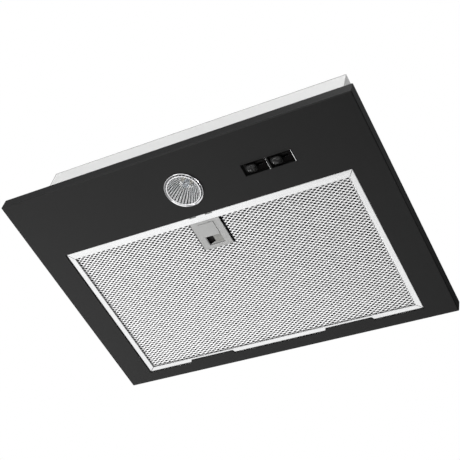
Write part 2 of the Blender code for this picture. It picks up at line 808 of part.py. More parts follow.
def scroll_outline(inset):
    """The fan casing from above: a spiral, a straight throat and a round plenum, moved in by inset."""
    small, large = SCROLL_SMALL - inset, SCROLL_LARGE - inset
    cutoff_y = FAN_Y + SCROLL_SMALL * math.sin(SCROLL_CUTOFF) + inset
    plenum = PLENUM_RADIUS - inset
    start = math.asin((cutoff_y - FAN_Y) / small)
    finish = -1.5 * math.pi
    turns = 22
    outline = []
    for k in range(turns + 1):
        angle = start + (finish - start) * k / turns
        radius = small + (large - small) * k / turns
        outline.append((FAN_X + radius * math.cos(angle), FAN_Y + radius * math.sin(angle)))
    first, last = math.pi / 2, -math.pi - math.asin((cutoff_y - SPIGOT_Y) / plenum)
    steps = 18
    for k in range(steps + 1):
        angle = first + (last - first) * k / steps
        outline.append((SPIGOT_X + plenum * math.cos(angle), SPIGOT_Y + plenum * math.sin(angle)))
    return outline


def build_fan():
    scroll = prism("fan_scroll", scroll_outline(0.0), SCROLL_Z, SCROLL_TOP, "fan_plastic")
    cut(
        scroll,
        prism("scroll_cavity", scroll_outline(SCROLL_WALL), SCROLL_Z + 0.0015, SCROLL_TOP + 0.01),
        cylinder("inlet_hole", (FAN_X, FAN_Y, 0.02), INLET_RADIUS + 0.0035, 0.03),
    )
    cover = prism("scroll_cover", scroll_outline(-0.003), SCROLL_TOP + GAP, COVER_TOP, "zinc_steel")
    cut(
        cover,
        cylinder("motor_hole", (FAN_X, FAN_Y, 0.09), 0.044, 0.02),
        cylinder("plenum_hole", (SPIGOT_X, SPIGOT_Y, 0.09), SPIGOT_RADIUS - 0.002, 0.02),
    )
    lathe(
        "inlet_ring",
        [
            (INLET_RADIUS + 0.003, 0.0070),
            (INLET_RADIUS + 0.003, -GAP),
            (INLET_RADIUS + 0.012, -GAP),
            (INLET_RADIUS + 0.012, -0.0015),
            (INLET_RADIUS + 0.006, -0.0030),
            (INLET_RADIUS + 0.002, 0.0000),
            (INLET_RADIUS + 0.0005, 0.0070),
        ],
        (FAN_X, FAN_Y, SCROLL_Z),
        "fan_plastic",
    )
    build_wheel()
    build_motor()


def build_wheel():
    """The impeller: a cup over the motor, a disc, and forward-curved blades between the disc and a ring."""
    wall, floor = 0.0014, 0.0016
    profile = [
        (WHEEL_RADIUS, WHEEL_TOP),
        (WHEEL_RADIUS, WHEEL_TOP - wall),
        (CUP_RADIUS, WHEEL_TOP - wall),
        (CUP_RADIUS, CUP_Z),
        (0.009, CUP_Z),
        (0.009, CUP_Z - 0.008),
        (SHAFT_RADIUS + GAP, CUP_Z - 0.008),
        (SHAFT_RADIUS + GAP, CUP_Z + floor),
        (CUP_RADIUS - wall, CUP_Z + floor),
        (CUP_RADIUS - wall, WHEEL_TOP),
    ]
    wheel = lathe("impeller", profile, (FAN_X, FAN_Y, 0), "fan_plastic", segments=40)
    ring = lathe(
        "wheel_ring",
        [
            (WHEEL_RADIUS, WHEEL_Z + 0.004),
            (WHEEL_RADIUS, WHEEL_Z),
            (WHEEL_RADIUS - 0.0014, WHEEL_Z),
            (WHEEL_RADIUS - 0.0014, WHEEL_Z + 0.004),
        ],
        (FAN_X, FAN_Y, 0),
        segments=40,
    )
    join(wheel, ring)
    bm = bmesh.new()
    chord, thickness = 0.0150, 0.0012
    for k in range(BLADES):
        made = bmesh.ops.create_cube(bm, size=1.0)
        bmesh.ops.scale(bm, vec=(chord, thickness, WHEEL_TOP - WHEEL_Z - 0.001), verts=made["verts"])
        lean = Matrix.Rotation(math.radians(28), 4, "Z")
        out = Matrix.Translation((WHEEL_RADIUS - 0.0080, 0, (WHEEL_TOP + WHEEL_Z) / 2))
        around = Matrix.Rotation(2 * math.pi * k / BLADES, 4, "Z")
        bmesh.ops.transform(bm, matrix=around @ out @ lean, verts=made["verts"])
    blades = from_bmesh("wheel_blades", bm, (FAN_X, FAN_Y, 0), None)
    join(wheel, blades)
    shaft = cylinder(
        "motor_shaft", (FAN_X, FAN_Y, CUP_Z - 0.010), SHAFT_RADIUS, 0.034, "zinc_steel", segments=20
    )
    joint_axis("fan_axis", (FAN_X, FAN_Y, WHEEL_Z), wheel, shaft)


def build_motor():
    top = MOTOR_PLATE_Z - GAP
    lathe(
        "motor",
        [
            (MOTOR_RADIUS - 0.004, top),
            (MOTOR_RADIUS, top - 0.004),
            (MOTOR_RADIUS, MOTOR_Z + 0.004),
            (MOTOR_RADIUS - 0.004, MOTOR_Z),
            (SHAFT_RADIUS + 0.0004, MOTOR_Z),
            (SHAFT_RADIUS + 0.0004, top),
        ],
        (FAN_X, FAN_Y, 0),
        "zinc_steel",
    )
    bracket = cylinder("motor_bracket", (FAN_X, FAN_Y, MOTOR_PLATE_Z), 0.040, MOTOR_PLATE, "zinc_steel")
    for number in range(1, 4):
        angle = math.radians(120 * number - 90)
        x, y = FAN_X + MOUNT_RADIUS * math.cos(angle), FAN_Y + MOUNT_RADIUS * math.sin(angle)
        low, high = (0.03, -0.010, MOTOR_PLATE_Z), (MOUNT_RADIUS + 0.010, 0.010, MOTOR_PLATE_Z + MOTOR_PLATE)
        arm = box(f"bracket_arm_{number}", low, high)
        about = Matrix.Translation((FAN_X, FAN_Y, 0)) @ Matrix.Rotation(angle, 4, "Z")
        arm.matrix_world = about @ Matrix.Translation(arm.location)
        join(bracket, arm)
        hole_place = (x, y, MOTOR_PLATE_Z - 0.01)
        cut(bracket, cylinder(f"bracket_hole_{number}", hole_place, SCREW_HOLE_RADIUS, 0.03, segments=12))
        build_motor_mount(number, x, y)
        pan_screw(f"motor_screw_{number}", (x, y, MOTOR_PLATE_Z + MOTOR_PLATE + GAP), length=0.0045)


def build_motor_mount(number, x, y):
    """A waisted rubber bush between the casing's cover and the motor's bracket."""
    low, high = COVER_TOP + GAP, MOTOR_PLATE_Z - GAP
    outer, waist, bore = 0.006, 0.0045, 0.0024
    profile = [(outer, high), (waist, (low + high) / 2), (outer, low), (bore, low), (bore, high)]
    lathe(f"motor_mount_{number}", profile, (x, y, 0), "rubber", segments=16)


# ---------------------------------------------------------------- outlet


def build_outlet():
    r, wall = SPIGOT_RADIUS, SPIGOT_WALL
    flange_low, flange_high = BODY_TOP + GAP, BODY_TOP + GAP + 0.002
    spigot = lathe(
        "outlet_spigot",
        [
            (r - 0.0008, SPIGOT_TOP),
            (r, SPIGOT_TOP - 0.001),
            (r, flange_high),
            (SPIGOT_FLANGE, flange_high),
            (SPIGOT_FLANGE, flange_low),
            (r, flange_low),
            (r, BODY_TOP - 0.010),
            (r - wall, BODY_TOP - 0.010),
            (r - wall, SPIGOT_TOP),
        ],
        (SPIGOT_X, SPIGOT_Y, 0),
        "fan_plastic",
        segments=40,
    )
    hole_place = (SPIGOT_X - 0.08, SPIGOT_Y, FLAP_Z)
    cut(spigot, cylinder("pin_hole", hole_place, PIN_RADIUS + GAP, 0.16, segments=12, axis="X"))
    pin_place, pin_length = (SPIGOT_X - r - 0.001, SPIGOT_Y, FLAP_Z), 2 * r + 0.002
    cylinder("flap_pin", pin_place, PIN_RADIUS, pin_length, "zinc_steel", segments=12, axis="X")
    for number in range(1, 4):
        angle = math.radians(120 * number - 30)
        radius = (SPIGOT_FLANGE + r) / 2 + GAP
        x, y = SPIGOT_X + radius * math.cos(angle), SPIGOT_Y + radius * math.sin(angle)
        hole_place = (x, y, BODY_TOP - 0.01)
        hole = cylinder(f"spigot_hole_{number}", hole_place, SCREW_HOLE_RADIUS, 0.03, segments=12)
        cut(spigot, hole)
        cut(bpy.data.objects["body_shell"], hole)
        pan_screw(f"spigot_screw_{number}", (x, y, flange_high + GAP))
    for name, side in (("flap_front", -1), ("flap_rear", 1)):
        build_flap(name, side)


def build_flap(name, side):
    """Half a disc with two knuckles around the pin."""
    thickness = 0.0012
    steps = 16
    near = side * 0.0030
    reach = math.sqrt(FLAP_RADIUS**2 - near**2)
    first = math.atan2(near, reach)
    last = math.atan2(near, -reach)
    if side < 0:
        last -= 0 if last < 0 else 2 * math.pi
    outline = []
    for k in range(steps + 1):
        angle = first + (last - first) * k / steps
        outline.append((SPIGOT_X + FLAP_RADIUS * math.cos(angle), SPIGOT_Y + FLAP_RADIUS * math.sin(angle)))
    low, high = FLAP_Z - thickness / 2, FLAP_Z + thickness / 2
    flap = prism(name, outline, low, high, "black_plastic")
    knuckle, pitch = 0.007, 0.008
    for number, place in enumerate((-0.032, 0.016), 1):
        x = SPIGOT_X + place + (pitch if side > 0 else 0)
        y0, y1 = sorted((SPIGOT_Y, SPIGOT_Y + side * 0.006))
        arm = box(f"{name}_arm_{number}", (x, y0, low), (x + knuckle, y1, high))
        middle = (x, SPIGOT_Y, FLAP_Z)
        barrel = cylinder(f"{name}_barrel_{number}", middle, 0.0028, knuckle, segments=16, axis="X")
        join(flap, arm, barrel)
    bore_place = (SPIGOT_X - 0.07, SPIGOT_Y, FLAP_Z)
    cut(flap, cylinder(name + "_bore", bore_place, PIN_RADIUS + GAP, 0.14, segments=12, axis="X"))
    joint_axis(name + "_axis", (SPIGOT_X, SPIGOT_Y, FLAP_Z), flap)


# ---------------------------------------------------------------- electrics


def build_terminal_box():
    (x0, y0), (x1, y1) = BOX_LOW, BOX_HIGH
    low, high = BODY_TOP + GAP, BODY_TOP + GAP + BOX_HEIGHT
    wall, rim = 0.002, 0.001
    z = low + CABLE_RISE
    case = box("terminal_box", (x0, y0, low), (x1, y1, high), "grey_plastic")
    floor_place = (CABLE_HOLE_X, CABLE_Y, low - 0.01)
    gland_place = (x0 - 0.01, CABLE_Y, z)
    cut(
        case,
        box("box_hollow", (x0 + wall, y0 + wall, low + wall), (x1 - wall, y1 - wall, high + 0.01)),
        cylinder("box_floor_hole", floor_place, CABLE_HOLE_RADIUS, 0.02, segments=16),
        cylinder("gland_hole", gland_place, GLAND_RADIUS + 0.0007, 0.02, segments=20, axis="X"),
    )
    lid_low, lid_high = (x0 - rim, y0 - rim, high + GAP), (x1 + rim, y1 + rim, high + 0.0026)
    box("terminal_box_lid", lid_low, lid_high, "grey_plastic")
    stem_place = (x0 - 0.014, CABLE_Y, z)
    gland = cylinder("cable_gland", stem_place, GLAND_RADIUS, 0.020, "black_plastic", segments=20, axis="X")
    join(gland, cylinder("gland_nut", (x0 - 0.0083, CABLE_Y, z), 0.0095, 0.008, segments=6, axis="X"))
    cut(gland, cylinder("gland_bore", (x0 - 0.03, CABLE_Y, z), 0.0042, 0.06, segments=16, axis="X"))
    build_mains_cable(x0, z)


def build_mains_cable(box_x, z):
    """The supply cable, out of the gland and round a bend towards the front."""
    bend_start, bend_radius = box_x - 0.022, 0.020
    far = bend_start - bend_radius
    points = [(box_x + 0.020, CABLE_Y, z), (bend_start, CABLE_Y, z)]
    for k in range(1, 7):
        angle = math.radians(15 * k)
        y = CABLE_Y - bend_radius * (1 - math.cos(angle))
        points.append((bend_start - bend_radius * math.sin(angle), y, z))
    points += [(far, -0.060, z), (far + 0.003, -0.100, z)]
    wire("mains_cable", points, 0.0036, "rubber")


def build_electrics():
    build_terminal_box()
    cylinder("run_capacitor", (-0.212, -0.060, 0.0365), 0.014, 0.048, "white_plastic", segments=24, axis="Y")
    x0, x1, y0, y1 = CONTROL_COVER
    top = 0.0750
    cover = box("control_cover", (x0, y0, top - SHEET), (x1, y1, top), "zinc_steel")
    wall = box("control_cover_wall", (x0, y1 - SHEET, PANEL_TOP + 0.0024), (x1, y1, top - SHEET / 2))
    join(cover, wall)
    loom_z, rise_z = 0.0690, 0.0900
    wire(
        "wiring_loom",
        [
            (0.118, LAMP_Y, 0.0245),
            (0.118, LAMP_Y, loom_z),
            (-0.080, -0.120, loom_z),
            (-0.100, -0.110, 0.0860),
            (-0.200, -0.090, rise_z),
            (-0.216, 0.060, rise_z),
            (-0.190, CABLE_Y, 0.0980),
            (CABLE_HOLE_X, CABLE_Y, 0.1050),
            (CABLE_HOLE_X, CABLE_Y, BODY_TOP + 0.0100),
        ],
        0.0028,
        "rubber",
    )


clear_scene()
build_panel()
build_body()
build_lamp()
build_switches()
build_filter()
build_fan()
build_outlet()
build_electrics()
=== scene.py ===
"""Looks of the built-in kitchen extractor hood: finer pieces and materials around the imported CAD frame.

Metres, +Z up, -Y to the front. Places come from the CAD nodes' boxes, with small offsets from them, and every
piece rides on a CAD body.
"""

import json
import math

import bmesh
import bpy
import numpy as np
from mathutils import Matrix, Vector

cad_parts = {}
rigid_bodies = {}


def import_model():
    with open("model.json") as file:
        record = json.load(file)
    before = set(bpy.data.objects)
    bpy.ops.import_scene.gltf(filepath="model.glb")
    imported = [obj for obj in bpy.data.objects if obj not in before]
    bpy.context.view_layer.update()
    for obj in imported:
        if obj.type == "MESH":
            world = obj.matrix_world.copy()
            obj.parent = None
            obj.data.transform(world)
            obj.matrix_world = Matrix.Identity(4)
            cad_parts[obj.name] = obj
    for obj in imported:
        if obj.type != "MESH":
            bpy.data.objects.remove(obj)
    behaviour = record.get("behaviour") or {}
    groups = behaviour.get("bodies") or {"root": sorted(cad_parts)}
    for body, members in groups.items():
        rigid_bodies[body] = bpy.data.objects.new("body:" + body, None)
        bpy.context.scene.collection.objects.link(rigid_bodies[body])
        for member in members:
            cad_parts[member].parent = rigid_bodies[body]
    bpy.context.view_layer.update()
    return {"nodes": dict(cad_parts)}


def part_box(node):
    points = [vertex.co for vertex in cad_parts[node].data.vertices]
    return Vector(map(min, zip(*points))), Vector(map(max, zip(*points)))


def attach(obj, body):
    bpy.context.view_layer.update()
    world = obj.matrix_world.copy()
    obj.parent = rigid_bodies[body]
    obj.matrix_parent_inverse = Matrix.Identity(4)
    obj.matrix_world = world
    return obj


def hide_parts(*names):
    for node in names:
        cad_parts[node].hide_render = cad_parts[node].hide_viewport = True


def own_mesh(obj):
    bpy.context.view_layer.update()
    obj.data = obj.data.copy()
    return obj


FLUTES = 32  # round the lamp's bowl
WINDOW_MARGIN = 0.0018  # from the switch housing's edge to its windows
WINDOW_FLOOR = 0.0015  # thickness of the housing behind the windows
FACING = 0.0012  # thickness of the latch plate's grey facing; the plate above it is painted black for the shade inside the latch
SLIDER_GAP = 0.0003  # clearance between the facing and the latch slider behind it
SLIDER_SKIN = 0.0007  # thickness of the grey layer on the slider, behind that gap; the slider above it is painted black for the shade inside the latch
OUTER_CELL = (0.00425, 0.00248)  # half the pitch of the mesh's diamonds along X and Y
OUTER_HOLE = (0.0028, 0.0012, 0.00150)  # half length, half of the flat's length, half height
CORE_CELL = (0.0036, 0.0031)  # the same for the packing between the meshes
CORE_HOLE = (0.0019, 0.0007, 0.0014)
WORLD_LIGHT = 0.22  # strength of the surrounding light at the front
WORLD_BACK_LIGHT = 0.04  # and at the back
FLOOR_GLOW = 0.75  # seen by the camera only
FLOOR_COLOUR = (0.80, 0.80, 0.79)

for leftover in list(bpy.data.objects):
    bpy.data.objects.remove(leftover, do_unlink=True)
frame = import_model()
scene = bpy.context.scene


# ---------------------------------------------------------------- material helpers


def add_node(tree, kind, **inputs):
    """A new node with its named inputs set; an underscore in a name stands for a space."""
    node = tree.nodes.new("ShaderNode" + kind)
    for label, value in inputs.items():
        node.inputs[label.replace("_", " ")].default_value = value
    return node


class Shader:
    """A Principled material with short calls for the nodes that vary its colour, roughness and surface."""

    def __init__(self, name, colour, roughness, metallic=0.0, **inputs):
        self.material = bpy.data.materials.new(name)
        self.material.use_nodes = True
        self.tree = self.material.node_tree
        self.surface = self.tree.nodes["Principled BSDF"]
        self.colour = (*colour, 1.0)
        self.surface.inputs["Base Color"].default_value = self.colour
        self.surface.inputs["Roughness"].default_value = roughness
        self.surface.inputs["Metallic"].default_value = metallic
        for label, value in inputs.items():
            self.surface.inputs[label.replace("_", " ")].default_value = value
        self.place = self.add("TexCoord").outputs["Object"]
        self.height = None

    def link(self, output, socket):
        self.tree.links.new(output, socket)

    def add(self, kind, **inputs):
        return add_node(self.tree, kind, **inputs)

    def mapped(self, **inputs):
        """Object coordinates in metres, moved or scaled."""
        node = self.add("Mapping", **inputs)
        self.link(self.place, node.inputs["Vector"])
        return node.outputs["Vector"]

    def noise(self, scale, detail=2.0, roughness=0.5, stretch=None):
        node = self.add("TexNoise", Scale=scale, Detail=detail, Roughness=roughness)
        self.link(self.mapped(Scale=stretch) if stretch else self.place, node.inputs["Vector"])
        return node.outputs["Fac"]

    def cells(self, scale):
        node = self.add("TexVoronoi", Scale=scale)
        self.link(self.place, node.inputs["Vector"])
        return node.outputs["Color"]

    def ranged(self, value, low, high, start=0.3, end=0.7):
        node = self.add("MapRange", From_Min=start, From_Max=end, To_Min=low, To_Max=high)
        self.link(value, node.inputs["Value"])
        return node.outputs["Result"]

    def math(self, operation, value, factor):
        """The value after one arithmetic operation with a number."""
        node = self.add("Math")
        node.operation = operation
        node.inputs[1].default_value = factor
        self.link(value, node.inputs[0])
        return node.outputs["Value"]

    def vary_colour(self, value, other, start=0.3, end=0.7):
        """Mixes the colour towards another one where value is high."""
        mix = self.add("Mix")
        mix.data_type = "RGBA"
        source = self.surface.inputs["Base Color"]
        if source.is_linked:
            self.link(source.links[0].from_socket, mix.inputs["A"])
        else:
            mix.inputs["A"].default_value = self.colour
        mix.inputs["B"].default_value = (*other, 1.0)
        self.link(self.ranged(value, 0.0, 1.0, start, end), mix.inputs["Factor"])
        self.link(mix.outputs["Result"], source)
        return self

    def vary_roughness(self, value, low, high):
        self.link(self.ranged(value, low, high), self.surface.inputs["Roughness"])
        return self

    def raised(self, value, distance, strength=1.0):
        node = self.add("Bump", Distance=distance, Strength=strength)
        self.link(value, node.inputs["Height"])
        if self.height is not None:
            self.link(self.height, node.inputs["Normal"])
        self.height = node.outputs["Normal"]
        self.link(self.height, self.surface.inputs["Normal"])
        return self


def panel_enamel():
    """Satin black baked enamel with a fine grain."""
    made = Shader("panel_enamel", (0.0050, 0.0051, 0.0052), 0.34, Specular_IOR_Level=0.16)
    made.vary_colour(made.noise(3.0, 3.0), (0.0063, 0.0063, 0.0063))
    made.vary_roughness(made.noise(900.0, 2.0), 0.30, 0.42)
    return made.raised(made.noise(700.0, 3.0), 0.000025)


def body_enamel(name, shade):
    """Satin grey baked enamel of a given shade."""
    made = Shader(name, (shade, shade, shade * 0.995), 0.42)
    made.vary_colour(made.noise(4.0, 3.0), (shade * 0.96, shade * 0.96, shade * 0.955))
    made.vary_roughness(made.noise(260.0, 3.0), 0.34, 0.50)
    return made.raised(made.noise(520.0, 3.0), 0.00003)


def rolled_aluminium(name, along):
    """Bright channel stock with fine rolling lines along one direction."""
    made = Shader(name, (0.57, 0.572, 0.575), 0.28, 1.0)
    lines = made.noise(1.0, 4.0, 0.6, [18.0 if side == along else 2600.0 for side in "xyz"])
    made.vary_colour(made.noise(24.0, 3.0), (0.54, 0.542, 0.545))
    made.vary_roughness(lines, 0.18, 0.34)
    return made.raised(lines, 0.000012)


def mesh_aluminium():
    """Bright, slightly uneven foil for the expanded meshes."""
    made = Shader("mesh_aluminium", (0.94, 0.94, 0.945), 0.30, 0.35)
    made.vary_colour(made.noise(160.0, 3.0), (0.86, 0.86, 0.865))
    made.vary_roughness(made.noise(420.0, 2.0), 0.16, 0.36)
    return made.raised(made.noise(1500.0, 3.0), 0.00003)


def core_painted_shade_aluminium():
    """Dull aluminium foil for the packing, painted near black for the shade between the meshes, which little
    light reaches.
    """
    made = Shader("core_painted_shade_aluminium", (0.03, 0.03, 0.031), 0.6, 1.0)
    made.vary_colour(made.noise(220.0, 3.0), (0.02, 0.02, 0.021))
    return made.raised(made.noise(900.0, 3.0), 0.00005)


def zinc_steel():
    """Zinc plating with its crystals."""
    made = Shader("zinc_steel", (0.58, 0.59, 0.60), 0.34, 1.0)
    made.vary_colour(made.cells(130.0), (0.66, 0.66, 0.65), 0.2, 0.9)
    made.vary_roughness(made.noise(240.0, 3.0), 0.26, 0.44)
    return made.raised(made.noise(1100.0, 2.0), 0.00001)


def chrome():
    """Polished plating, faintly wavy."""
    made = Shader("chrome", (0.58, 0.58, 0.59), 0.05, 1.0)
    made.vary_roughness(made.noise(70.0, 4.0), 0.03, 0.09)
    return made.raised(made.noise(30.0, 2.0), 0.00001)


def reflector_mirror():
    """A silvered bowl with painted reflections: bright in the hollow of each flute, painted near black along
    the ridges between the flutes for their dark reflections.
    """
    made = Shader("reflector_mirror", (0.97, 0.97, 0.975), 0.14, 0.45)
    low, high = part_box("lamp_reflector")
    centre = (low + high) / 2
    around = made.add("TexGradient")
    around.gradient_type = "RADIAL"
    made.link(made.mapped(Location=(-centre.x, -centre.y, 0.0)), around.inputs["Vector"])
    turns = made.math("MULTIPLY", around.outputs["Fac"], FLUTES)
    painted_ridge_wave = made.math("PINGPONG", turns, 0.5)
    # painted reflection: near black stripes along the flute ridges
    made.vary_colour(painted_ridge_wave, (0.004, 0.004, 0.0038), 0.29, 0.34)
    made.vary_roughness(made.noise(500.0, 2.0), 0.08, 0.18)
    return made.raised(made.noise(160.0, 2.0), 0.000004)


def clear_glass():
    """Thin clear glass with almost no veil."""
    made = Shader("clear_glass", (0.985, 0.99, 0.99), 0.01, Transmission_Weight=1.0, IOR=1.15)
    made.vary_roughness(made.noise(90.0, 2.0), 0.0, 0.01)
    return made.raised(made.noise(55.0, 2.0), 0.000004)


def frosted_glass():
    """The capsule's glass: faintly blue and etched, so that it glows in the light it catches."""
    made = Shader("frosted_glass", (0.90, 0.94, 1.0), 0.22, Transmission_Weight=0.55, IOR=1.46)
    made.vary_roughness(made.noise(400.0, 2.0), 0.16, 0.30)
    return made.raised(made.noise(300.0, 2.0), 0.00001)


def ceramic():
    """Unglazed lamp ceramic."""
    made = Shader("ceramic", (0.80, 0.77, 0.71), 0.62)
    made.vary_colour(made.noise(420.0, 4.0), (0.70, 0.67, 0.61))
    return made.raised(made.noise(1600.0, 3.0), 0.00004)


def felt():
    """A black dust seal: rough fibres with almost no shine."""
    made = Shader("black_felt", (0.0022, 0.0020, 0.0020), 0.95, Specular_IOR_Level=0.06)
    made.vary_colour(made.noise(1500.0, 4.0), (0.005, 0.0045, 0.0045))
    return made.raised(made.noise(2600.0, 4.0), 0.0001)


def tungsten():
    """Drawn filament wire."""
    made = Shader("tungsten", (0.40, 0.39, 0.37), 0.35, 1.0)
    return made.raised(made.noise(3000.0, 2.0), 0.00001)


def plastic(name, colour, other, roughness, grain, depth, shine):
    """A moulding with a spark-eroded grain and a faint change of shade over its face."""
    made = Shader(name, colour, roughness, Specular_IOR_Level=shine)
    made.vary_colour(made.noise(30.0, 3.0), other)
    made.vary_roughness(made.noise(grain * 0.6, 2.0), roughness * 0.8, roughness * 1.25)
    return made.raised(made.noise(grain, 3.0), depth)


def rubber():
    """Matt cable sheath."""
    made = Shader("cable_rubber", (0.016, 0.016, 0.017), 0.72)
    made.vary_colour(made.noise(90.0, 3.0), (0.026, 0.026, 0.026))
    return made.raised(made.noise(1300.0, 3.0), 0.00004)


# finish: (material, the record's material slot)
FINISHES = {
    "panel": (panel_enamel(), "panel_enamel"),
    "body": (body_enamel("body_enamel", 0.71), "body_enamel"),
    # painted shade: darker grey along the front sheet's top fold and corners
    "hem_shade": (body_enamel("hem_painted_shade_enamel", 0.42), "body_enamel"),
    "rail_x": (rolled_aluminium("rail_aluminium_x", "x"), "filter_aluminium"),
    "rail_y": (rolled_aluminium("rail_aluminium_y", "y"), "filter_aluminium"),
    "mesh": (mesh_aluminium(), "filter_mesh"),
    "core": (core_painted_shade_aluminium(), "filter_mesh"),
    "zinc": (zinc_steel(), "zinc_steel"),
    "chrome": (chrome(), "chrome"),
    "mirror": (reflector_mirror(), "reflector"),
    "glass": (clear_glass(), "clear_glass"),
    "frost": (frosted_glass(), "clear_glass"),
    "ceramic": (ceramic(), "ceramic"),
    "tungsten": (tungsten(), "zinc_steel"),
    "felt": (felt(), "black_plastic"),
    "rubber": (rubber(), "cable_rubber"),
}

# finish, the record's slot, then what plastic() takes: name, colours, roughness, grain, its depth, shine
PLASTICS = (
    ("black", "black_plastic", "black_plastic", (0.006,) * 3, (0.009,) * 3, 0.13, 500.0, 0.00001, 0.5),
    ("knob", "black_plastic", "knob_plastic", (0.004,) * 3, (0.006,) * 3, 0.10, 500.0, 0.000004, 0.32),
    ("bezel", "black_plastic", "bezel_plastic", (0.0075,) * 3, (0.0095,) * 3, 0.12, 700.0, 0.000004, 0.5),
    ("white", "white_plastic", "white_plastic",
     (0.78, 0.78, 0.75), (0.72, 0.72, 0.69), 0.36, 900.0, 0.00002, 0.5),
    ("latch", "latch_plastic", "latch_plastic",
     (0.38, 0.38, 0.377), (0.355, 0.355, 0.35), 0.42, 1500.0, 0.00003, 0.5),
    # painted shade: near black with a reddish tint for the shaded inside of the latch
    ("latch_painted_shade_black", "latch_plastic", "latch_painted_shade_black",
     (0.0045, 0.0028, 0.0028), (0.007, 0.005, 0.005), 0.6, 900.0, 0.00003, 0.5),
    # painted shade: darker grey for the shaded recess of the finger ledge
    ("shade_pad", "latch_plastic", "shaded_finger_ledge",
     (0.27, 0.268, 0.255), (0.24, 0.238, 0.225), 0.6, 1200.0, 0.00004, 0.5),
    ("box", "box_plastic", "box_plastic",
     (0.50, 0.50, 0.49), (0.46, 0.46, 0.45), 0.48, 1300.0, 0.00004, 0.5),
    ("fan", "fan_plastic", "fan_plastic",
     (0.045, 0.045, 0.047), (0.060, 0.060, 0.062), 0.46, 900.0, 0.00004, 0.5),
)
for plastic_finish, plastic_slot, *settings in PLASTICS:
    FINISHES[plastic_finish] = (plastic(*settings), plastic_slot)


# ---------------------------------------------------------------- mesh helpers


def outward(bm, faces):
    """Turns a closed solid's faces to look out of it."""
    bm.normal_update()
    bmesh.ops.recalc_face_normals(bm, faces=list(faces))


def skin(bm, rings, closed=False, capped=True):
    """Faces between rings of vertices in turn, round to the first ring or capped at both ends.

    A ring of one vertex is a point that the next ring's faces meet at.
    """
    pairs = list(zip(rings, rings[1:]))
    if closed:
        pairs.append((rings[-1], rings[0]))
    faces = []
    for a, b in pairs:
        for k in range(max(len(a), len(b))):
            corners = [a[k % len(a)], a[(k + 1) % len(a)], b[(k + 1) % len(b)], b[k % len(b)]]
            unique = list(dict.fromkeys(corners))
            if len(unique) > 2:
                faces.append(bm.faces.new(unique))
    if capped and not closed:
        faces += [bm.faces.new(ring) for ring in (rings[0], rings[-1]) if len(ring) > 2]
    outward(bm, faces)


def object_from(name, bm):
    mesh = bpy.data.meshes.new(name)
    bm.to_mesh(mesh)
    bm.free()
    obj = bpy.data.objects.new(name, mesh)
    scene.collection.objects.link(obj)
    return obj


def piece(obj, body, finish, *nodes, angle=32.0, weighted=True):
    """Finishes a new piece: shading, material, the body it rides on and the CAD nodes it stands for."""
    obj.data.shade_smooth()
    if angle:
        obj.data.set_sharp_from_angle(angle=math.radians(angle))
    if weighted:
        normals = obj.modifiers.new("even_normals", "WEIGHTED_NORMAL")
        normals.keep_sharp = True
    shader, slot = FINISHES[finish]
    obj.data.materials.clear()
    obj.data.materials.append(shader.material)
    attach(obj, body)
    if nodes:
        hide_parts(*nodes)
    return obj


def drop_custom_normals(mesh):
    custom = mesh.attributes.get("custom_normal")
    if custom is not None:
        mesh.attributes.remove(custom)


def carried(node, finish, width=0.0003, segments=2):
    """A CAD node whose shape is right: its edges are rounded by modifiers and it gets its material."""
    obj = frame["nodes"][node]
    shader, slot = FINISHES[finish]
    obj.data.materials.clear()
    obj.data.materials.append(shader.material)
    drop_custom_normals(obj.data)
    weld = obj.modifiers.new("weld", "WELD")
    weld.merge_threshold = 0.000001
    flat = obj.modifiers.new("flat_faces", "DECIMATE")
    flat.decimate_type = "DISSOLVE"
    flat.angle_limit = math.radians(1.0)
    edge = obj.modifiers.new("edges", "BEVEL")
    edge.width = width
    edge.segments = segments
    edge.limit_method = "ANGLE"
    edge.angle_limit = math.radians(40)
    edge.use_clamp_overlap = True
    obj.data.shade_smooth()
    normals = obj.modifiers.new("even_normals", "WEIGHTED_NORMAL")
    normals.keep_sharp = True
    return obj


def solid_box(bm, low, high, radius=0.0, segments=2):
    """Adds a box with rounded edges to a bmesh."""
    low, high = Vector(low), Vector(high)
    made = bmesh.ops.create_cube(bm, size=1.0)
    size = high - low
    for vert in made["verts"]:
        vert.co = Vector(low[k] + (vert.co[k] + 0.5) * size[k] for k in range(3))
    if radius:
        edges = {edge for vert in made["verts"] for edge in vert.link_edges}
        bmesh.ops.bevel(
            bm, geom=list(edges), offset=radius, segments=segments, profile=0.5, affect="EDGES"
        )


def box_object(name, low, high, radius=0.0, segments=2):
    bm = bmesh.new()
    solid_box(bm, low, high, radius, segments)
    return object_from(name, bm)


def add_turned(bm, profile, centre, steps=64, axis="Z", closed=False):
    """Adds a turned solid: (radius, height) points from one end to the other about an axis through centre."""
    rings = []
    for radius, height in profile:
        count = 1 if radius < 1e-7 else steps
        ring = []
        for k in range(count):
            angle = 2 * math.pi * k / steps
            local = (radius * math.cos(angle), radius * math.sin(angle), height)
            place = {
                "Z": local,
                "X": (height, local[0], local[1]),
                "Y": (local[1], height, local[0]),
            }[axis]
            ring.append(bm.verts.new(Vector(centre) + Vector(place)))
        rings.append(ring)
    skin(bm, rings, closed, capped=False)


def turned(name, profile, centre, steps=64, axis="Z", closed=False):
    bm = bmesh.new()
    add_turned(bm, profile, centre, steps, axis, closed)
    return object_from(name, bm)


def rod(radius, low, high):
    """The profile of a plain solid rod."""
    return [(0, low), (radius, low), (radius, high), (0, high)]


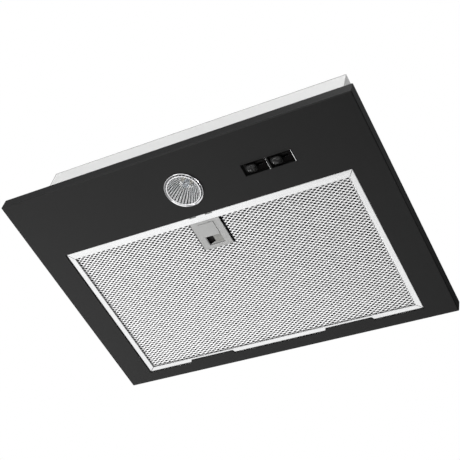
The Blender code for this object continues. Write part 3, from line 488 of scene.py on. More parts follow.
def rounded(points, radius, steps=4):
    """Rounds the corners of a closed outline of (a, b) points, by one radius or by one for each corner."""
    count = len(points)
    radii = radius if isinstance(radius, (list, tuple)) else [radius] * count
    outline = []
    for k in range(count):
        here = Vector(points[k])
        before, after = Vector(points[k - 1]) - here, Vector(points[(k + 1) % count]) - here
        if radii[k] <= 0:
            outline.append(tuple(here))
            continue
        half = before.angle(after) / 2
        reach = min(radii[k] / math.tan(half), before.length * 0.49, after.length * 0.49)
        start, end = here + before.normalized() * reach, here + after.normalized() * reach
        for step in range(steps + 1):
            t = step / steps
            outline.append(tuple(start.lerp(here, t).lerp(here.lerp(end, t), t)))
    return outline


def rectangle(x0, x1, y0, y1):
    return [(x0, y0), (x1, y0), (x1, y1), (x0, y1)]


def slab(name, outline, low, high, edge=0.0, segments=2):
    """A flat outline raised from low to high, with its upper and lower edges rounded."""
    bm = bmesh.new()
    face = bm.faces.new([bm.verts.new((x, y, low)) for x, y in outline])
    made = bmesh.ops.extrude_face_region(bm, geom=[face])
    top = [item for item in made["geom"] if isinstance(item, bmesh.types.BMVert)]
    bmesh.ops.translate(bm, vec=(0, 0, high - low), verts=top)
    outward(bm, bm.faces)
    if edge:
        flat = [e for e in bm.edges if abs(e.verts[0].co.z - e.verts[1].co.z) < 1e-9]
        bmesh.ops.bevel(bm, geom=flat, offset=edge, segments=segments, profile=0.5, affect="EDGES")
    return object_from(name, bm)


def evaluated(obj):
    """Applies the object's modifiers to its mesh."""
    bpy.context.view_layer.update()
    graph = bpy.context.evaluated_depsgraph_get()
    mesh = bpy.data.meshes.new_from_object(obj.evaluated_get(graph))
    obj.modifiers.clear()
    obj.data = mesh
    return obj


def combine(target, others, operation):
    """A Boolean of the target with each other solid, which are then removed."""
    for other in others:
        step = target.modifiers.new("combine", "BOOLEAN")
        step.operation = operation
        step.object = other
    evaluated(target)
    for other in others:
        bpy.data.objects.remove(other, do_unlink=True)
    return target


def cut(target, *others):
    return combine(target, others, "DIFFERENCE")


def join(target, *others):
    return combine(target, others, "UNION")


def soft_edges(obj, width, segments=2, angle=40.0):
    bevel = obj.modifiers.new("soft_edges", "BEVEL")
    bevel.width = width
    bevel.segments = segments
    bevel.limit_method = "ANGLE"
    bevel.angle_limit = math.radians(angle)
    return obj


def merged(obj, *others):
    """Several loose solids as one piece."""
    bm = bmesh.new()
    for other in (obj, *others):
        bm.from_mesh(other.data)
    bm.to_mesh(obj.data)
    bm.free()
    for other in others:
        bpy.data.objects.remove(other, do_unlink=True)
    return obj


def cable(name, points, radius, body, finish, *nodes, detail=6):
    """A round cable on a smooth curve through the points, with closed ends."""
    curve = bpy.data.curves.new(name, "CURVE")
    curve.dimensions = "3D"
    curve.bevel_depth = radius
    curve.bevel_resolution = detail
    curve.use_fill_caps = True
    spline = curve.splines.new("NURBS")
    spline.points.add(len(points) - 1)
    for point, place in zip(spline.points, points):
        point.co = (*place, 1.0)
    spline.order_u = 4
    spline.use_endpoint_u = True
    spline.resolution_u = 8
    drawn = bpy.data.objects.new(name + "_curve", curve)
    scene.collection.objects.link(drawn)
    bpy.context.view_layer.update()
    graph = bpy.context.evaluated_depsgraph_get()
    mesh = bpy.data.meshes.new_from_object(drawn.evaluated_get(graph))
    bpy.data.objects.remove(drawn, do_unlink=True)
    bm = bmesh.new()
    bm.from_mesh(mesh)
    bmesh.ops.remove_doubles(bm, verts=bm.verts, dist=0.000001)
    outward(bm, bm.faces)
    return piece(object_from(name, bm), body, finish, *nodes, weighted=False)


def span(node):
    """A node's lowest corner, highest corner and centre."""
    low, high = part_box(node)
    return low, high, (low + high) / 2


def middle(node):
    """A node's centre."""
    return span(node)[2]


# ---------------------------------------------------------------- panel


def build_panel():
    """The pressed black panel: creased folds, a turned-up rim, and openings with a fine rolled edge."""
    low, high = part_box("canopy_panel")
    sheet, fold, corner, edge = 0.001, 0.0012, 0.0014, 0.00025
    section = [(fold, low.z), (0.0, low.z + fold)]
    section += [(0.0, high.z - edge), (edge, high.z), (sheet - edge, high.z), (sheet, high.z - edge)]
    section += [(sheet, low.z + fold), (fold, low.z + sheet)]
    bm = bmesh.new()
    rings = []
    for inset, z in section:
        frame_outline = rectangle(low.x + inset, high.x - inset, low.y + inset, high.y - inset)
        outline = rounded(frame_outline, max(corner - inset, 0.0002), 4)
        rings.append([bm.verts.new((x, y, z)) for x, y in outline])
    skin(bm, rings)
    panel = object_from("panel_pressing", bm)
    cut(panel, filter_opening(), lamp_opening(), switch_opening())
    soft_edges(panel, 0.00040, 3, 50)
    return piece(panel, "hood", "panel", "canopy_panel")


def filter_opening():
    """The opening round the filter, with the two tongues that hold the filter's rear edge."""
    _, rail_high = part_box("filter_rail_rear")
    front_low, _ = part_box("filter_rail_front")
    left_low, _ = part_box("filter_rail_left")
    room, slant, tongue_x, tongue = 0.0004, 0.0012, 0.111, 0.0365
    x, front, rear = -left_low.x + room, front_low.y - room, rail_high.y + room
    tip = rail_high.y - 0.0043
    outline = [(-x, front), (x, front), (x, rear)]
    radii = [0.0016, 0.0016, 0.0012]
    for place in (tongue_x, -tongue_x):
        outline += [
            (place + tongue + slant, rear),
            (place + tongue - slant, tip),
            (place - tongue + slant, tip),
            (place - tongue - slant, rear),
        ]
        radii += [0.0006, 0.0010, 0.0010, 0.0006]
    outline.append((-x, rear))
    radii.append(0.0012)
    return slab("opening_cutter", rounded(outline, radii, 3), -0.01, 0.012)


def lamp_opening():
    """The round hole behind the lamp's ring."""
    centre = middle("light_bezel")
    return turned("lamp_cutter", rod(0.0258, -0.01, 0.02), (centre.x, centre.y, 0), 96)


def switch_opening():
    """The hole behind the switch housing's face."""
    low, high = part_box("switch_housing")
    margin = 0.0010
    outline = rectangle(low.x + margin, high.x - margin, low.y + margin, high.y - margin)
    return slab("switch_cutter", rounded(outline, 0.001, 3), -0.01, 0.012)


# ---------------------------------------------------------------- body


def build_body():
    """The grey body: the CAD pressing with softened folds, plus ribs, rivets, seams and a hem."""
    carried("body_shell", "body", 0.0004)
    low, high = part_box("body_shell")
    top = high.z
    side_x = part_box("cabinet_bracket_right")[0].x - 0.0003
    front_y = low.y + 0.012
    rear_y = high.y - 0.010
    build_top_ribs(top, side_x)
    build_rivets(side_x, front_y, rear_y, low.z)
    build_seams(side_x, front_y, rear_y, low.z, top)
    build_hem(side_x, front_y, low.z, top)
    for side in ("left", "right"):
        carried(f"cabinet_bracket_{side}", "zinc", 0.0005, 3)


def build_top_ribs(top, side_x):
    """Shallow pressed ribs that stiffen the top, left of the duct."""
    ribs = []
    depth, half = 0.0012, 0.0050
    for number, y in enumerate((-0.125, -0.098, -0.071)):
        outline = rounded(rectangle(-side_x + 0.040, side_x - 0.040, y - half, y + half), half * 0.98, 6)
        ribs.append(slab(f"top_rib_{number}", outline, top - 0.0003, top + depth, 0.0011, 3))
    top_ribs = merged(*ribs)
    top_ribs.name = "top_ribs"
    piece(top_ribs, "hood", "body")


def build_rivets(side_x, front_y, rear_y, low_z):
    """Blind rivets along the flange's fold, where the body's sheets meet."""
    bm = bmesh.new()
    head = [(0, 0.0009), (0.0012, 0.0008), (0.0021, 0.0004), (0.0024, 0.0), (0.0024, -0.0004), (0, -0.0004)]
    for side in (-1, 1):
        for share in (0.12, 0.32, 0.68, 0.88):
            y = front_y + (rear_y - front_y) * share
            profile = [(r, side * h) for r, h in head]
            add_turned(bm, profile, (side * side_x, y, low_z + 0.090), 20, "X")
    for x in (-0.18, -0.06, 0.06, 0.18):
        add_turned(bm, head, (x, rear_y, low_z + 0.094), 20, "Y")
    piece(object_from("body_rivets", bm), "hood", "zinc")


def build_seams(side_x, front_y, rear_y, low_z, top):
    """The wrapped sheet's lapped edge down each rear corner and along the top."""
    bm = bmesh.new()
    lap, sheet = 0.012, 0.0006
    for side in (-1, 1):
        x0, x1 = sorted((side * (side_x - 0.0003), side * (side_x + sheet)))
        solid_box(bm, (x0, rear_y - lap, low_z + 0.0025), (x1, rear_y - 0.0008, top - 0.0012), 0.00025, 2)
        x0, x1 = sorted((side * (side_x - lap), side * (side_x - 0.0010)))
        solid_box(bm, (x0, front_y + 0.0015, top - 0.0003), (x1, rear_y - 0.0015, top + sheet), 0.00025, 2)
    piece(object_from("body_seams", bm), "hood", "body")


def build_hem(side_x, front_y, low_z, top):
    """The front sheet's hemmed edge along its top and down both corners, painted a darker grey for the shade
    along its folds.
    """
    bm = bmesh.new()
    wide, proud, inset = 0.0009, 0.0003, 0.0001
    y0, y1, bottom = front_y - proud, front_y + proud, low_z + 0.0030
    solid_box(bm, (-side_x + inset, y0, top - wide), (side_x - inset, y1, top - inset), 0.0001, 1)
    for side in (-1, 1):
        x0, x1 = sorted((side * (side_x - wide), side * (side_x - inset)))
        solid_box(bm, (x0, y0, bottom), (x1, y1, top - wide - inset), 0.0001, 1)
    piece(object_from("front_hem", bm), "hood", "hem_shade")


# ---------------------------------------------------------------- fasteners


def pan_head(bm, radius, rise, shank, length, crown_steps=4):
    """A pan-head screw's turned form at the origin, its shank down -Z."""
    profile = [(0, -length), (shank * 0.6, -length), (shank, -length + 0.0006), (shank, -0.00001)]
    profile += [(radius, 0.0), (radius, rise * 0.35)]
    for step in range(1, crown_steps + 1):
        angle = math.pi / 2 * step / crown_steps
        share = math.cos(angle)
        profile.append((radius * (0.35 + 0.65 * share), rise * (0.35 + 0.65 * math.sin(angle))))
    profile.append((0, rise))
    add_turned(bm, profile, (0, 0, 0), 28)


def screw(name, body, node, seat, direction):
    """A crossed pan-head screw on a seat, pointing out along direction, in place of a CAD screw."""
    radius, rise, arm, narrow, depth = 0.0036, 0.0022, 0.0021, 0.00045, 0.0011
    bm = bmesh.new()
    pan_head(bm, radius, rise, 0.0016, 0.0048)
    made = object_from(name, bm)
    cross = box_object("cross_a", (-arm, -narrow, rise - depth), (arm, narrow, rise + 0.001))
    other = box_object("cross_b", (-narrow, -arm, rise - depth), (narrow, arm, rise + 0.001))
    cut(made, cross, other)
    turn = Vector((0, 0, 1)).rotation_difference(Vector(direction)).to_matrix().to_4x4()
    made.data.transform(Matrix.Translation(seat) @ turn)
    soft_edges(made, 0.00008, 2, 50)
    piece(made, body, "zinc", node)


def build_screws():
    """The crossed screws of the brackets, spigot and motor, and the flange nuts."""
    for side, sign in (("left", -1), ("right", 1)):
        node = f"bracket_screw_{side}"
        low, high, centre = span(node)
        seat_x = high.x - 0.0022 if sign > 0 else low.x + 0.0022
        screw(f"side_{node}", "hood", node, (seat_x, centre.y, centre.z), (sign, 0, 0))
    for group in ("spigot_screw", "motor_screw"):
        for number in (1, 2, 3):
            node = f"{group}_{number}"
            low, high, centre = span(node)
            screw(f"cross_{node}", "hood", node, (centre.x, centre.y, high.z - 0.0022), (0, 0, 1))
    for number in (1, 2, 3, 4):
        build_nut(f"flange_nut_{number}")


def build_nut(node):
    """A threaded stud with a chamfered hexagon nut and a washer."""
    low, high, centre = span(node)
    radius, flats = 0.0018, 0.0040
    seat = low.z + 0.0013
    bm = bmesh.new()
    stud = [(0, low.z), (radius, low.z), (radius, seat + 0.0032)]
    pitch = 0.0007
    turns = int((high.z - seat - 0.0036) / pitch)
    for k in range(turns):
        z = seat + 0.0033 + k * pitch
        stud += [(radius, z), (radius * 0.86, z + pitch / 2)]
    stud += [(radius * 0.9, high.z - 0.0003), (radius * 0.6, high.z), (0, high.z)]
    add_turned(bm, stud, (centre.x, centre.y, 0), 20)
    made = object_from(f"stud_{node}", bm)
    chamfered = [(0, 0.0006), (flats * 0.9, 0.0006), (flats, 0.0010), (flats, 0.0027)]
    chamfered += [(flats * 0.9, 0.0031), (0, 0.0031)]
    nut = turned("nut", chamfered, (centre.x, centre.y, seat), 6)
    washer = turned("washer", rod(0.0044, 0.0001, 0.0006), (centre.x, centre.y, seat), 28)
    piece(merged(made, nut, washer), "hood", "zinc", node)


# ---------------------------------------------------------------- lamp


def build_lamp():
    """The ring, bowl, glass and capsule, and the base, holder and bracket behind them."""
    build_bezel()
    build_reflector()
    build_capsule()
    carried("lamp_base", "ceramic", 0.0004)
    carried("lamp_holder", "ceramic", 0.0005)
    carried("lamp_bracket", "zinc")


def build_bezel():
    """The plated ring: a rolled outer lip and a face that slopes in towards the glass."""
    low, high, centre = span("light_bezel")
    ring = (high.x - low.x) / 2
    face = low.z + 0.0017
    collar, mouth = 0.0255, 0.0241
    profile = [
        (mouth, high.z),
        (mouth, low.z + 0.0016),
        (mouth + 0.0003, low.z + 0.0013),
        (ring - 0.0012, low.z + 0.0002),
        (ring - 0.0006, low.z + 0.0001),
        (ring - 0.0001, low.z + 0.0006),
        (ring, low.z + 0.0012),
        (ring - 0.0001, face - 0.0001),
        (collar, face),
        (collar, high.z),
    ]
    bezel = turned("lamp_ring", profile, (centre.x, centre.y, 0), 128, closed=True)
    piece(bezel, "hood", "chrome", "light_bezel", angle=50)


def build_reflector():
    """The glass bowl with a mirror inside, in sharp radial flutes, and the plated lip round its mouth."""
    low, high, centre = span("lamp_reflector")
    mouth = (high.x - low.x) / 2 - 0.0003
    neck, wall, rows, ridge = 0.0088, 0.0011, 18, 0.0009
    lip = 0.0024
    depth = high.z - low.z - lip
    seat = mouth - wall - 0.0001
    rim = seat - 0.0003
    lip_outline = [(rim, low.z), (seat + wall, low.z), (seat + wall, low.z + 0.0006), (rim, low.z + 0.0006)]
    ring = turned("lamp_lip", lip_outline, (centre.x, centre.y, 0), 128, closed=True)
    soft_edges(ring, 0.0002, 2, 50)
    piece(ring, "hood", "chrome")
    levels = [(seat, low.z + 0.0007, 0.0)]
    for row in range(rows + 1):
        share = row / rows
        radius = neck + (mouth - wall - neck) * math.sqrt(1 - share)
        fade = min(1.0, 6 * share) * (1 - 0.45 * share)
        levels.append((radius, low.z + lip + depth * share, ridge * fade))
    bm = bmesh.new()
    count = FLUTES * 2
    inner, outer = [], []
    for radius, z, rise in levels:
        place = Vector((centre.x, centre.y, z))
        arms = []
        for k in range(count):
            angle = 2 * math.pi * k / count
            arms.append(Vector((math.cos(angle), math.sin(angle), 0)))
        inner.append([bm.verts.new(place + arm * (radius - rise * (k % 2))) for k, arm in enumerate(arms)])
        outer.append([bm.verts.new(place + arm * (radius + wall)) for arm in arms])
    skin(bm, inner + outer[::-1], closed=True)
    for row, after in zip(inner, inner[1:]):
        for near, far in zip(row, after):
            bm.edges.get((near, far)).smooth = False
    for edge in bm.edges:
        if edge.calc_face_angle(0) > math.radians(50):
            edge.smooth = False
    bowl = object_from("lamp_bowl", bm)
    piece(bowl, "hood", "mirror", "lamp_reflector", angle=0, weighted=False)


def build_capsule():
    """The lamp's front glass, the capsule with its tip and pinch, and the coiled filament inside."""
    low, high, centre = span("lamp_glass")
    radius = (high.x - low.x) / 2
    steps, front_bow, back_bow = 8, 0.0006, 0.0005
    angles = [math.pi / 2 * k / steps for k in range(steps + 1)]
    profile = [(radius * math.sin(a), low.z + front_bow * (1 - math.cos(a))) for a in angles]
    profile.append((radius, high.z))
    for a in reversed(angles):
        profile.append((radius * 0.985 * math.sin(a), high.z - front_bow + back_bow * (1 - math.cos(a))))
    glass = turned("front_glass", profile, (centre.x, centre.y, 0), 96)
    piece(glass, "hood", "glass", "lamp_glass", weighted=False)
    low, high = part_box("lamp_capsule")
    tube = (high.x - low.x) / 2
    tip = [(0, low.z), (0.0006, low.z + 0.0002), (0.0008, low.z + 0.0010), (0.0014, low.z + 0.0018)]
    tip += [(0.0030, low.z + 0.0030), (tube * 0.93, low.z + 0.0046), (tube, low.z + 0.0070)]
    stem = [(tube, high.z - 0.0060), (tube * 0.9, high.z - 0.0044)]
    stem += [(0.0028, high.z - 0.0030), (0.0028, high.z), (0, high.z)]
    bulb = turned("capsule_bulb", tip + stem, (centre.x, centre.y, 0), 48)
    piece(bulb, "hood", "frost", "lamp_capsule", weighted=False)
    build_filament(centre.x, centre.y, low.z + 0.0095)


def build_filament(x, y, z):
    """The coiled filament between its two upright leads."""
    coils, radius, half = 11, 0.0007, 0.0026
    points = [(x - half, y, z + 0.0090), (x - half, y, z + 0.0010)]
    for k in range(coils * 8 + 1):
        angle = 2 * math.pi * k / 8
        along = -half + 2 * half * k / (coils * 8)
        points.append((x + along, y + radius * math.cos(angle), z + radius * math.sin(angle)))
    points += [(x + half, y, z + 0.0010), (x + half, y, z + 0.0090)]
    cable("lamp_filament", points, 0.00012, "hood", "tungsten", detail=1)


# ---------------------------------------------------------------- switches


def build_switches():
    """The switch housing, both knobs with domed caps, and the switch bodies behind."""
    build_housing()
    build_seals()
    for kind in ("light", "fan"):
        carried(f"{kind}_switch", "black", 0.0004)
        build_knob(kind)


def window_spans():
    """The two windows' ends along X, from the housing's box: the light's, then the fan's."""
    low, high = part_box("switch_housing")
    bridge, light_length = 0.0030, 0.0350
    start = low.x + WINDOW_MARGIN
    bridge_start = start + light_length
    return (start, bridge_start), (bridge_start + bridge, high.x - WINDOW_MARGIN)


def slot_span(kind):
    """The ends of a knob's slot along X: the stem's length and its travel, with room at both ends."""
    place = middle(f"{kind}_knob").x
    return place - 0.0035, place + 0.0155


def build_housing():
    """A shallow black bezel with two windows, each flared at its right edge, and the tub behind them."""
    low, high, centre = span("switch_housing")
    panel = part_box("canopy_panel")[0].z
    wall, edge = 0.0005, 0.0007
    y0, y1 = low.y + WINDOW_MARGIN, high.y - WINDOW_MARGIN
    floor = high.z - WINDOW_FLOOR
    face = panel - 0.00015
    outline = rounded(rectangle(low.x, high.x, low.y, high.y), 0.0015, 4)
    housing = slab("switch_bezel", outline, face, panel - 0.0003)
    spans = window_spans()
    tub_low = (spans[0][0] - wall, y0 - wall, face + 0.0001)
    tub_high = (spans[1][1] + wall, y1 + wall, high.z)
    join(housing, box_object("tub", tub_low, tub_high))
    cutters = []
    for kind, (x0, x1) in zip(("light", "fan"), spans):
        cutters.append(box_object("window", (x0, y0, -0.01), (x1, y1, floor)))
        s0, s1 = slot_span(kind)
        cutters.append(box_object("slot", (s0, centre.y - 0.002, 0.0), (s1, centre.y + 0.002, 0.05)))
        cutters.append(window_flare(x0, x1, y0, y1, face, edge))
    cut(housing, *cutters)
    soft_edges(housing, 0.00006, 1, 35)
    piece(housing, "hood", "panel", "switch_housing", angle=50)
    build_window_edges(spans, y0, y1, face, edge)


def window_flare(x0, x1, y0, y1, face, edge):
    """The sloped mouth of a window: wider at the face than inside."""
    drop = edge * 0.45
    bm = bmesh.new()
    rings = []
    for spread, z in ((edge + 0.0009, face - drop), (0.0, face + drop), (0.0, face + 0.002)):
        corners = rectangle(x0, x1 + spread, y0, y1 + spread * 0.4)
        rings.append([bm.verts.new((x, y, z)) for x, y in corners])
    skin(bm, rings)
    return object_from("flare", bm)


def build_window_edges(spans, y0, y1, face, edge):
    """A polished strip on the sloped right edge of each window."""
    bm = bmesh.new()
    drop, thick, inset = edge * 0.45, 0.00008, 0.0002
    for _, x1 in spans:
        section = [(x1, face + drop), (x1 + edge, face), (x1 + edge, face - thick), (x1, face + drop - thick)]
        skin(bm, [[bm.verts.new((x, y, z)) for x, z in section] for y in (y0 + inset, y1 - inset)])
    piece(object_from("window_edges", bm), "hood", "bezel", weighted=False)


def build_seals():
    """Felt strips on the windows' floors, beside the slots: they keep grease out of the switches."""
    low, high, centre = span("switch_housing")
    thick, room, half_slot, half_line = 0.0003, 0.0003, 0.0018, 0.0004
    y0, y1 = low.y + WINDOW_MARGIN + room, high.y - WINDOW_MARGIN - room
    slot0, slot1 = centre.y - half_slot, centre.y + half_slot
    z1 = high.z - WINDOW_FLOOR - 0.00002
    z0 = z1 - thick
    line = low.y + WINDOW_MARGIN + 0.0056
    bm = bmesh.new()
    for kind, (x0, x1), start in zip(("light", "fan"), window_spans(), (0.0032, 0.0004)):
        s0, s1 = slot_span(kind)
        left, right = x0 + start, x1 - room
        for a, b in ((y0, line - half_line), (line + half_line, slot0), (slot1, y1)):
            solid_box(bm, (left, a, z0), (right, b, z1))
        if s0 > left:
            solid_box(bm, (left, slot0, z0), (s0, slot1, z1))
        solid_box(bm, (s1, slot0, z0), (right, slot1, z1))
    piece(object_from("switch_seals", bm), "hood", "felt")


def build_knob(kind):
    """A slide knob: a glossy oval dome on a collar, and its stem; the light's has two grip grooves."""
    node = f"{kind}_knob"
    low, high, centre = span(node)
    half_x, half_y = (high.x - low.x) / 2, (high.y - low.y) / 2
    top, collar = 0.0079, 0.0036
    rings, steps, power = 14, 64, 0.68
    grooves = (-0.0020, 0.0022) if kind == "light" else ()
    groove = 0.0007  # both its depth and its half width
    levels = [(1.0, top), (1.0, low.z + collar + 0.0003), (0.985, low.z + collar)]
    for k in range(rings):
        angle = math.pi / 2 * k / rings
        levels.append((0.93 * math.cos(angle), low.z + (collar - 0.0001) * (1 - math.sin(angle))))
    bm = bmesh.new()
    loops = []
    for scale, z in levels:
        loop = []
        for k in range(steps):
            angle = 2 * math.pi * k / steps
            cx, sx = math.cos(angle), math.sin(angle)
            x = math.copysign(abs(cx) ** power, cx) * half_x * scale
            y = math.copysign(abs(sx) ** power, sx) * half_y * scale
            dip = 0.0
            if scale < 0.93:
                dip = sum(groove * math.exp(-(((x - place) / groove) ** 2)) for place in grooves)
            loop.append(bm.verts.new((centre.x + x, centre.y + y, z + dip)))
        loops.append(loop)
    loops.append([bm.verts.new((centre.x, centre.y, low.z))])
    skin(bm, loops)
    knob = object_from(f"{kind}_slide_knob", bm)
    low_corner = (centre.x - 0.003, centre.y - 0.0015, top - 0.001)
    stem = box_object("stem", low_corner, (centre.x + 0.003, centre.y + 0.0015, high.z))
    join(knob, stem)
    piece(knob, f"{kind}_slider", "knob", node, angle=45)


# ---------------------------------------------------------------- filter


def build_filter():
    """The filter: rails, two meshes and packing; then its latch, keeper and spring."""
    build_rails()
    outer_low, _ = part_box("filter_outer_mesh")
    build_expanded("outer_expanded_mesh", "filter_outer_mesh", outer_low.z - 0.0010, 1)
    _, inner_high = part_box("filter_inner_mesh")
    build_expanded("inner_expanded_mesh", "filter_inner_mesh", inner_high.z - 0.0005, -1)
    build_core()
    build_latch()
    carried("latch_keeper", "zinc")
    build_spring()


def build_rails():
    """Four folded channels whose ends are mitred, with rounded folds and turned-in lips."""
    boxes = {side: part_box(f"filter_rail_{side}") for side in ("front", "rear", "left", "right")}
    width = {side: min(high.x - low.x, high.y - low.y) for side, (low, high) in boxes.items()}
    x = boxes["right"][1].x
    front, rear = boxes["front"][0].y, boxes["rear"][1].y
    z0, z1 = boxes["front"][0].z, boxes["front"][1].z
    gap = 0.00045
    for side in boxes:
        deep = width[side]
        section = channel_section(deep, z1 - z0)
        bm = bmesh.new()
        rows = []
        for end in (-1, 1):
            row = []
            for inward, height in section:
                share = inward / deep
                if side in ("front", "rear"):
                    near = "left" if end < 0 else "right"
                    along = end * (x - gap - share * width[near])
                    y = front + inward if side == "front" else rear - inward
                    row.append(bm.verts.new((along, y, z0 + height)))
                else:
                    near = "front" if end < 0 else "rear"
                    edge = front + gap if end < 0 else rear - gap
                    along = edge - end * share * width[near]
                    place = -x + inward if side == "left" else x - inward
                    row.append(bm.verts.new((place, along, z0 + height)))
            rows.append(row)
        skin(bm, rows)
        rail = object_from(f"frame_{side}", bm)
        if side == "front":
            cut(rail, *bolt_slots(front, z0))
        soft_edges(rail, 0.00025, 2, 60)
        finish = "rail_x" if side in ("front", "rear") else "rail_y"
        piece(rail, "filter", finish, f"filter_rail_{side}")


def channel_section(deep, tall):
    """The channel's cross-section as (inward, height) points: outer skin, then back along the inside."""
    sheet, fold = 0.0008, 0.0012
    points = [
        (deep, 0.0),
        (0.0, 0.0),
        (0.0, tall),
        (deep, tall),
        (deep, tall - sheet),
        (sheet, tall - sheet),
        (sheet, sheet),
        (deep, sheet),
    ]
    inner = fold - sheet
    return rounded(points, [0.0003, fold, fold, 0.0003, 0.0003, inner, inner, 0.0003], 4)


def bolt_slots(front, z0):
    """Cutters for the two slots in the front channel that the latch's bolts pass through."""
    half, slots = 0.0055, []
    for number, x in enumerate((-0.0125, 0.0125)):
        low = (x - half, front - 0.01, z0 - 0.001)
        high = (x + half, front + 0.0022, z0 + 0.0045)
        slots.append(box_object(f"bolt_slot_{number}", low, high))
    return slots


def lattice(x0, x1, y0, y1, half_x, half_y):
    """Centres of staggered diamond cells that cover a rectangle, as two arrays."""
    columns = np.arange(math.floor(x0 / half_x) - 1, math.ceil(x1 / half_x) + 2)
    rows = np.arange(math.floor(y0 / half_y) - 1, math.ceil(y1 / half_y) + 2)
    i, j = np.meshgrid(columns, rows)
    keep = (i + j) % 2 == 0
    return i[keep] * half_x, j[keep] * half_y


def diamond_sheet(cx, cy, half_x, half_y, hole, lean, thickness):
    """Vertices and faces of expanded metal: a diamond cell at each centre, with its hole and strands.

    hole is (tip, flat, reach): the hole's half length, half its flat's length, and its half height.
    lean lifts the hole's rear edge and lowers its front edge, which tilts every strand the same way.
    """
    tip, flat, reach = hole
    outer = [(half_x, 0.0, 0.0), (0.0, half_y, 0.0), (-half_x, 0.0, 0.0), (0.0, -half_y, 0.0)]
    inner = [
        (tip, 0.0, 0.0),
        (flat, reach, lean),
        (-flat, reach, lean),
        (-tip, 0.0, 0.0),
        (-flat, -reach, -lean),
        (flat, -reach, -lean),
    ]
    cell = np.array(outer + inner)
    lower = cell - (0, 0, thickness / 2)
    upper = cell + (0, 0, thickness / 2)
    one = np.vstack((lower, upper))
    skin = [(0, 1, 5, 4), (1, 6, 5), (1, 2, 7, 6), (2, 3, 8, 7), (3, 9, 8), (3, 0, 4, 9)]
    count = len(cell)
    faces = [tuple(reversed(face)) for face in skin]
    faces += [tuple(k + count for k in face) for face in skin]
    ring = list(range(4, 10))
    faces += [(a, b, b + count, a + count) for a, b in zip(ring, ring[1:] + ring[:1])]
    centres = np.column_stack((cx, cy, np.zeros(len(cx))))
    verts = (centres[:, None, :] + one[None, :, :]).reshape(-1, 3)
    made = [tuple(k * len(one) + v for v in face) for k in range(len(cx)) for face in faces]
    return verts, made


def trimmed(bm, x0, x1, y0, y1):
    """Cuts a sheet along a rectangle, which leaves the cut strands open."""
    planes = [((x0, 0, 0), (-1, 0, 0)), ((x1, 0, 0), (1, 0, 0))]
    planes += [((0, y0, 0), (0, -1, 0)), ((0, y1, 0), (0, 1, 0))]
    for place, normal in planes:
        geometry = bm.verts[:] + bm.edges[:] + bm.faces[:]
        bmesh.ops.bisect_plane(bm, geom=geometry, plane_co=place, plane_no=normal, clear_outer=True)


def notched(bm, x, y):
    """Takes a sheet's material out of the notch |X| < x, Y < y."""
    for place, normal in (((-x, 0, 0), (1, 0, 0)), ((x, 0, 0), (1, 0, 0)), ((0, y, 0), (0, 1, 0))):
        geometry = bm.verts[:] + bm.edges[:] + bm.faces[:]
        bmesh.ops.bisect_plane(bm, geom=geometry, plane_co=place, plane_no=normal)
    gone = []
    for face in bm.faces:
        centre = face.calc_center_median()
        if abs(centre.x) < x and centre.y < y:
            gone.append(face)
    bmesh.ops.delete(bm, geom=gone, context="FACES")


def expanded_bmesh(node, z, cell, hole, lean, thickness):
    """A sheet of diamonds at height z that fills a node's outline, notched for the latch and closed."""
    low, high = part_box(node)
    cx, cy = lattice(low.x, high.x, low.y, high.y, *cell)
    verts, faces = diamond_sheet(cx, cy, *cell, hole, lean, thickness)
    verts[:, 2] += z
    mesh = bpy.data.meshes.new("lattice")
    mesh.from_pydata(verts.tolist(), [], faces)
    bm = bmesh.new()
    bm.from_mesh(mesh)
    bpy.data.meshes.remove(mesh)
    bmesh.ops.remove_doubles(bm, verts=bm.verts, dist=0.00001)
    trimmed(bm, low.x, high.x, low.y, high.y)
    _, plate_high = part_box("filter_latch_plate")
    side_room, rear_room = 0.0028, 0.0010
    notched(bm, plate_high.x + side_room, plate_high.y + rear_room)
    edges = [edge for edge in bm.edges if edge.is_boundary]
    bmesh.ops.holes_fill(bm, edges=edges, sides=0)
    return bm


def build_expanded(name, node, z, facing):
    """One sheet of expanded aluminium: diamond holes 8.5 x 4.96 mm apart, with every strand tilted."""
    lean, thickness = 0.00020 * facing, 0.0003
    bm = expanded_bmesh(node, z, OUTER_CELL, OUTER_HOLE, lean, thickness)
    piece(object_from(name, bm), "filter", "mesh", node, angle=20, weighted=False)


def build_core():
    """The packing between the meshes: a coarser, crumpled sheet of expanded foil."""
    lean, thickness, crumple = 0.0003, 0.0002, 0.00022
    bm = expanded_bmesh("filter_core", middle("filter_core").z, CORE_CELL, CORE_HOLE, lean, thickness)
    for vert in bm.verts:
        x, y = vert.co.x, vert.co.y
        vert.co.z += crumple * math.sin(x * 900 + 2.1 * math.sin(y * 310)) * math.cos(y * 640 + x * 120)
    piece(object_from("packed_core", bm), "filter", "core", "filter_core", angle=20, weighted=False)


def portion(name, node, low, high):
    """The part of a CAD node's solid that lies in a box, as a new solid."""
    mesh = frame["nodes"][node].data.copy()
    obj = bpy.data.objects.new(name, mesh)
    scene.collection.objects.link(obj)
    bm = bmesh.new()
    bm.from_mesh(mesh)
    bmesh.ops.remove_doubles(bm, verts=bm.verts, dist=0.000001)
    bmesh.ops.dissolve_limit(bm, angle_limit=math.radians(1.0), verts=bm.verts, edges=bm.edges)
    bm.to_mesh(mesh)
    bm.free()
    drop_custom_normals(mesh)
    combine(obj, [box_object("portion", low, high)], "INTERSECT")
    return obj


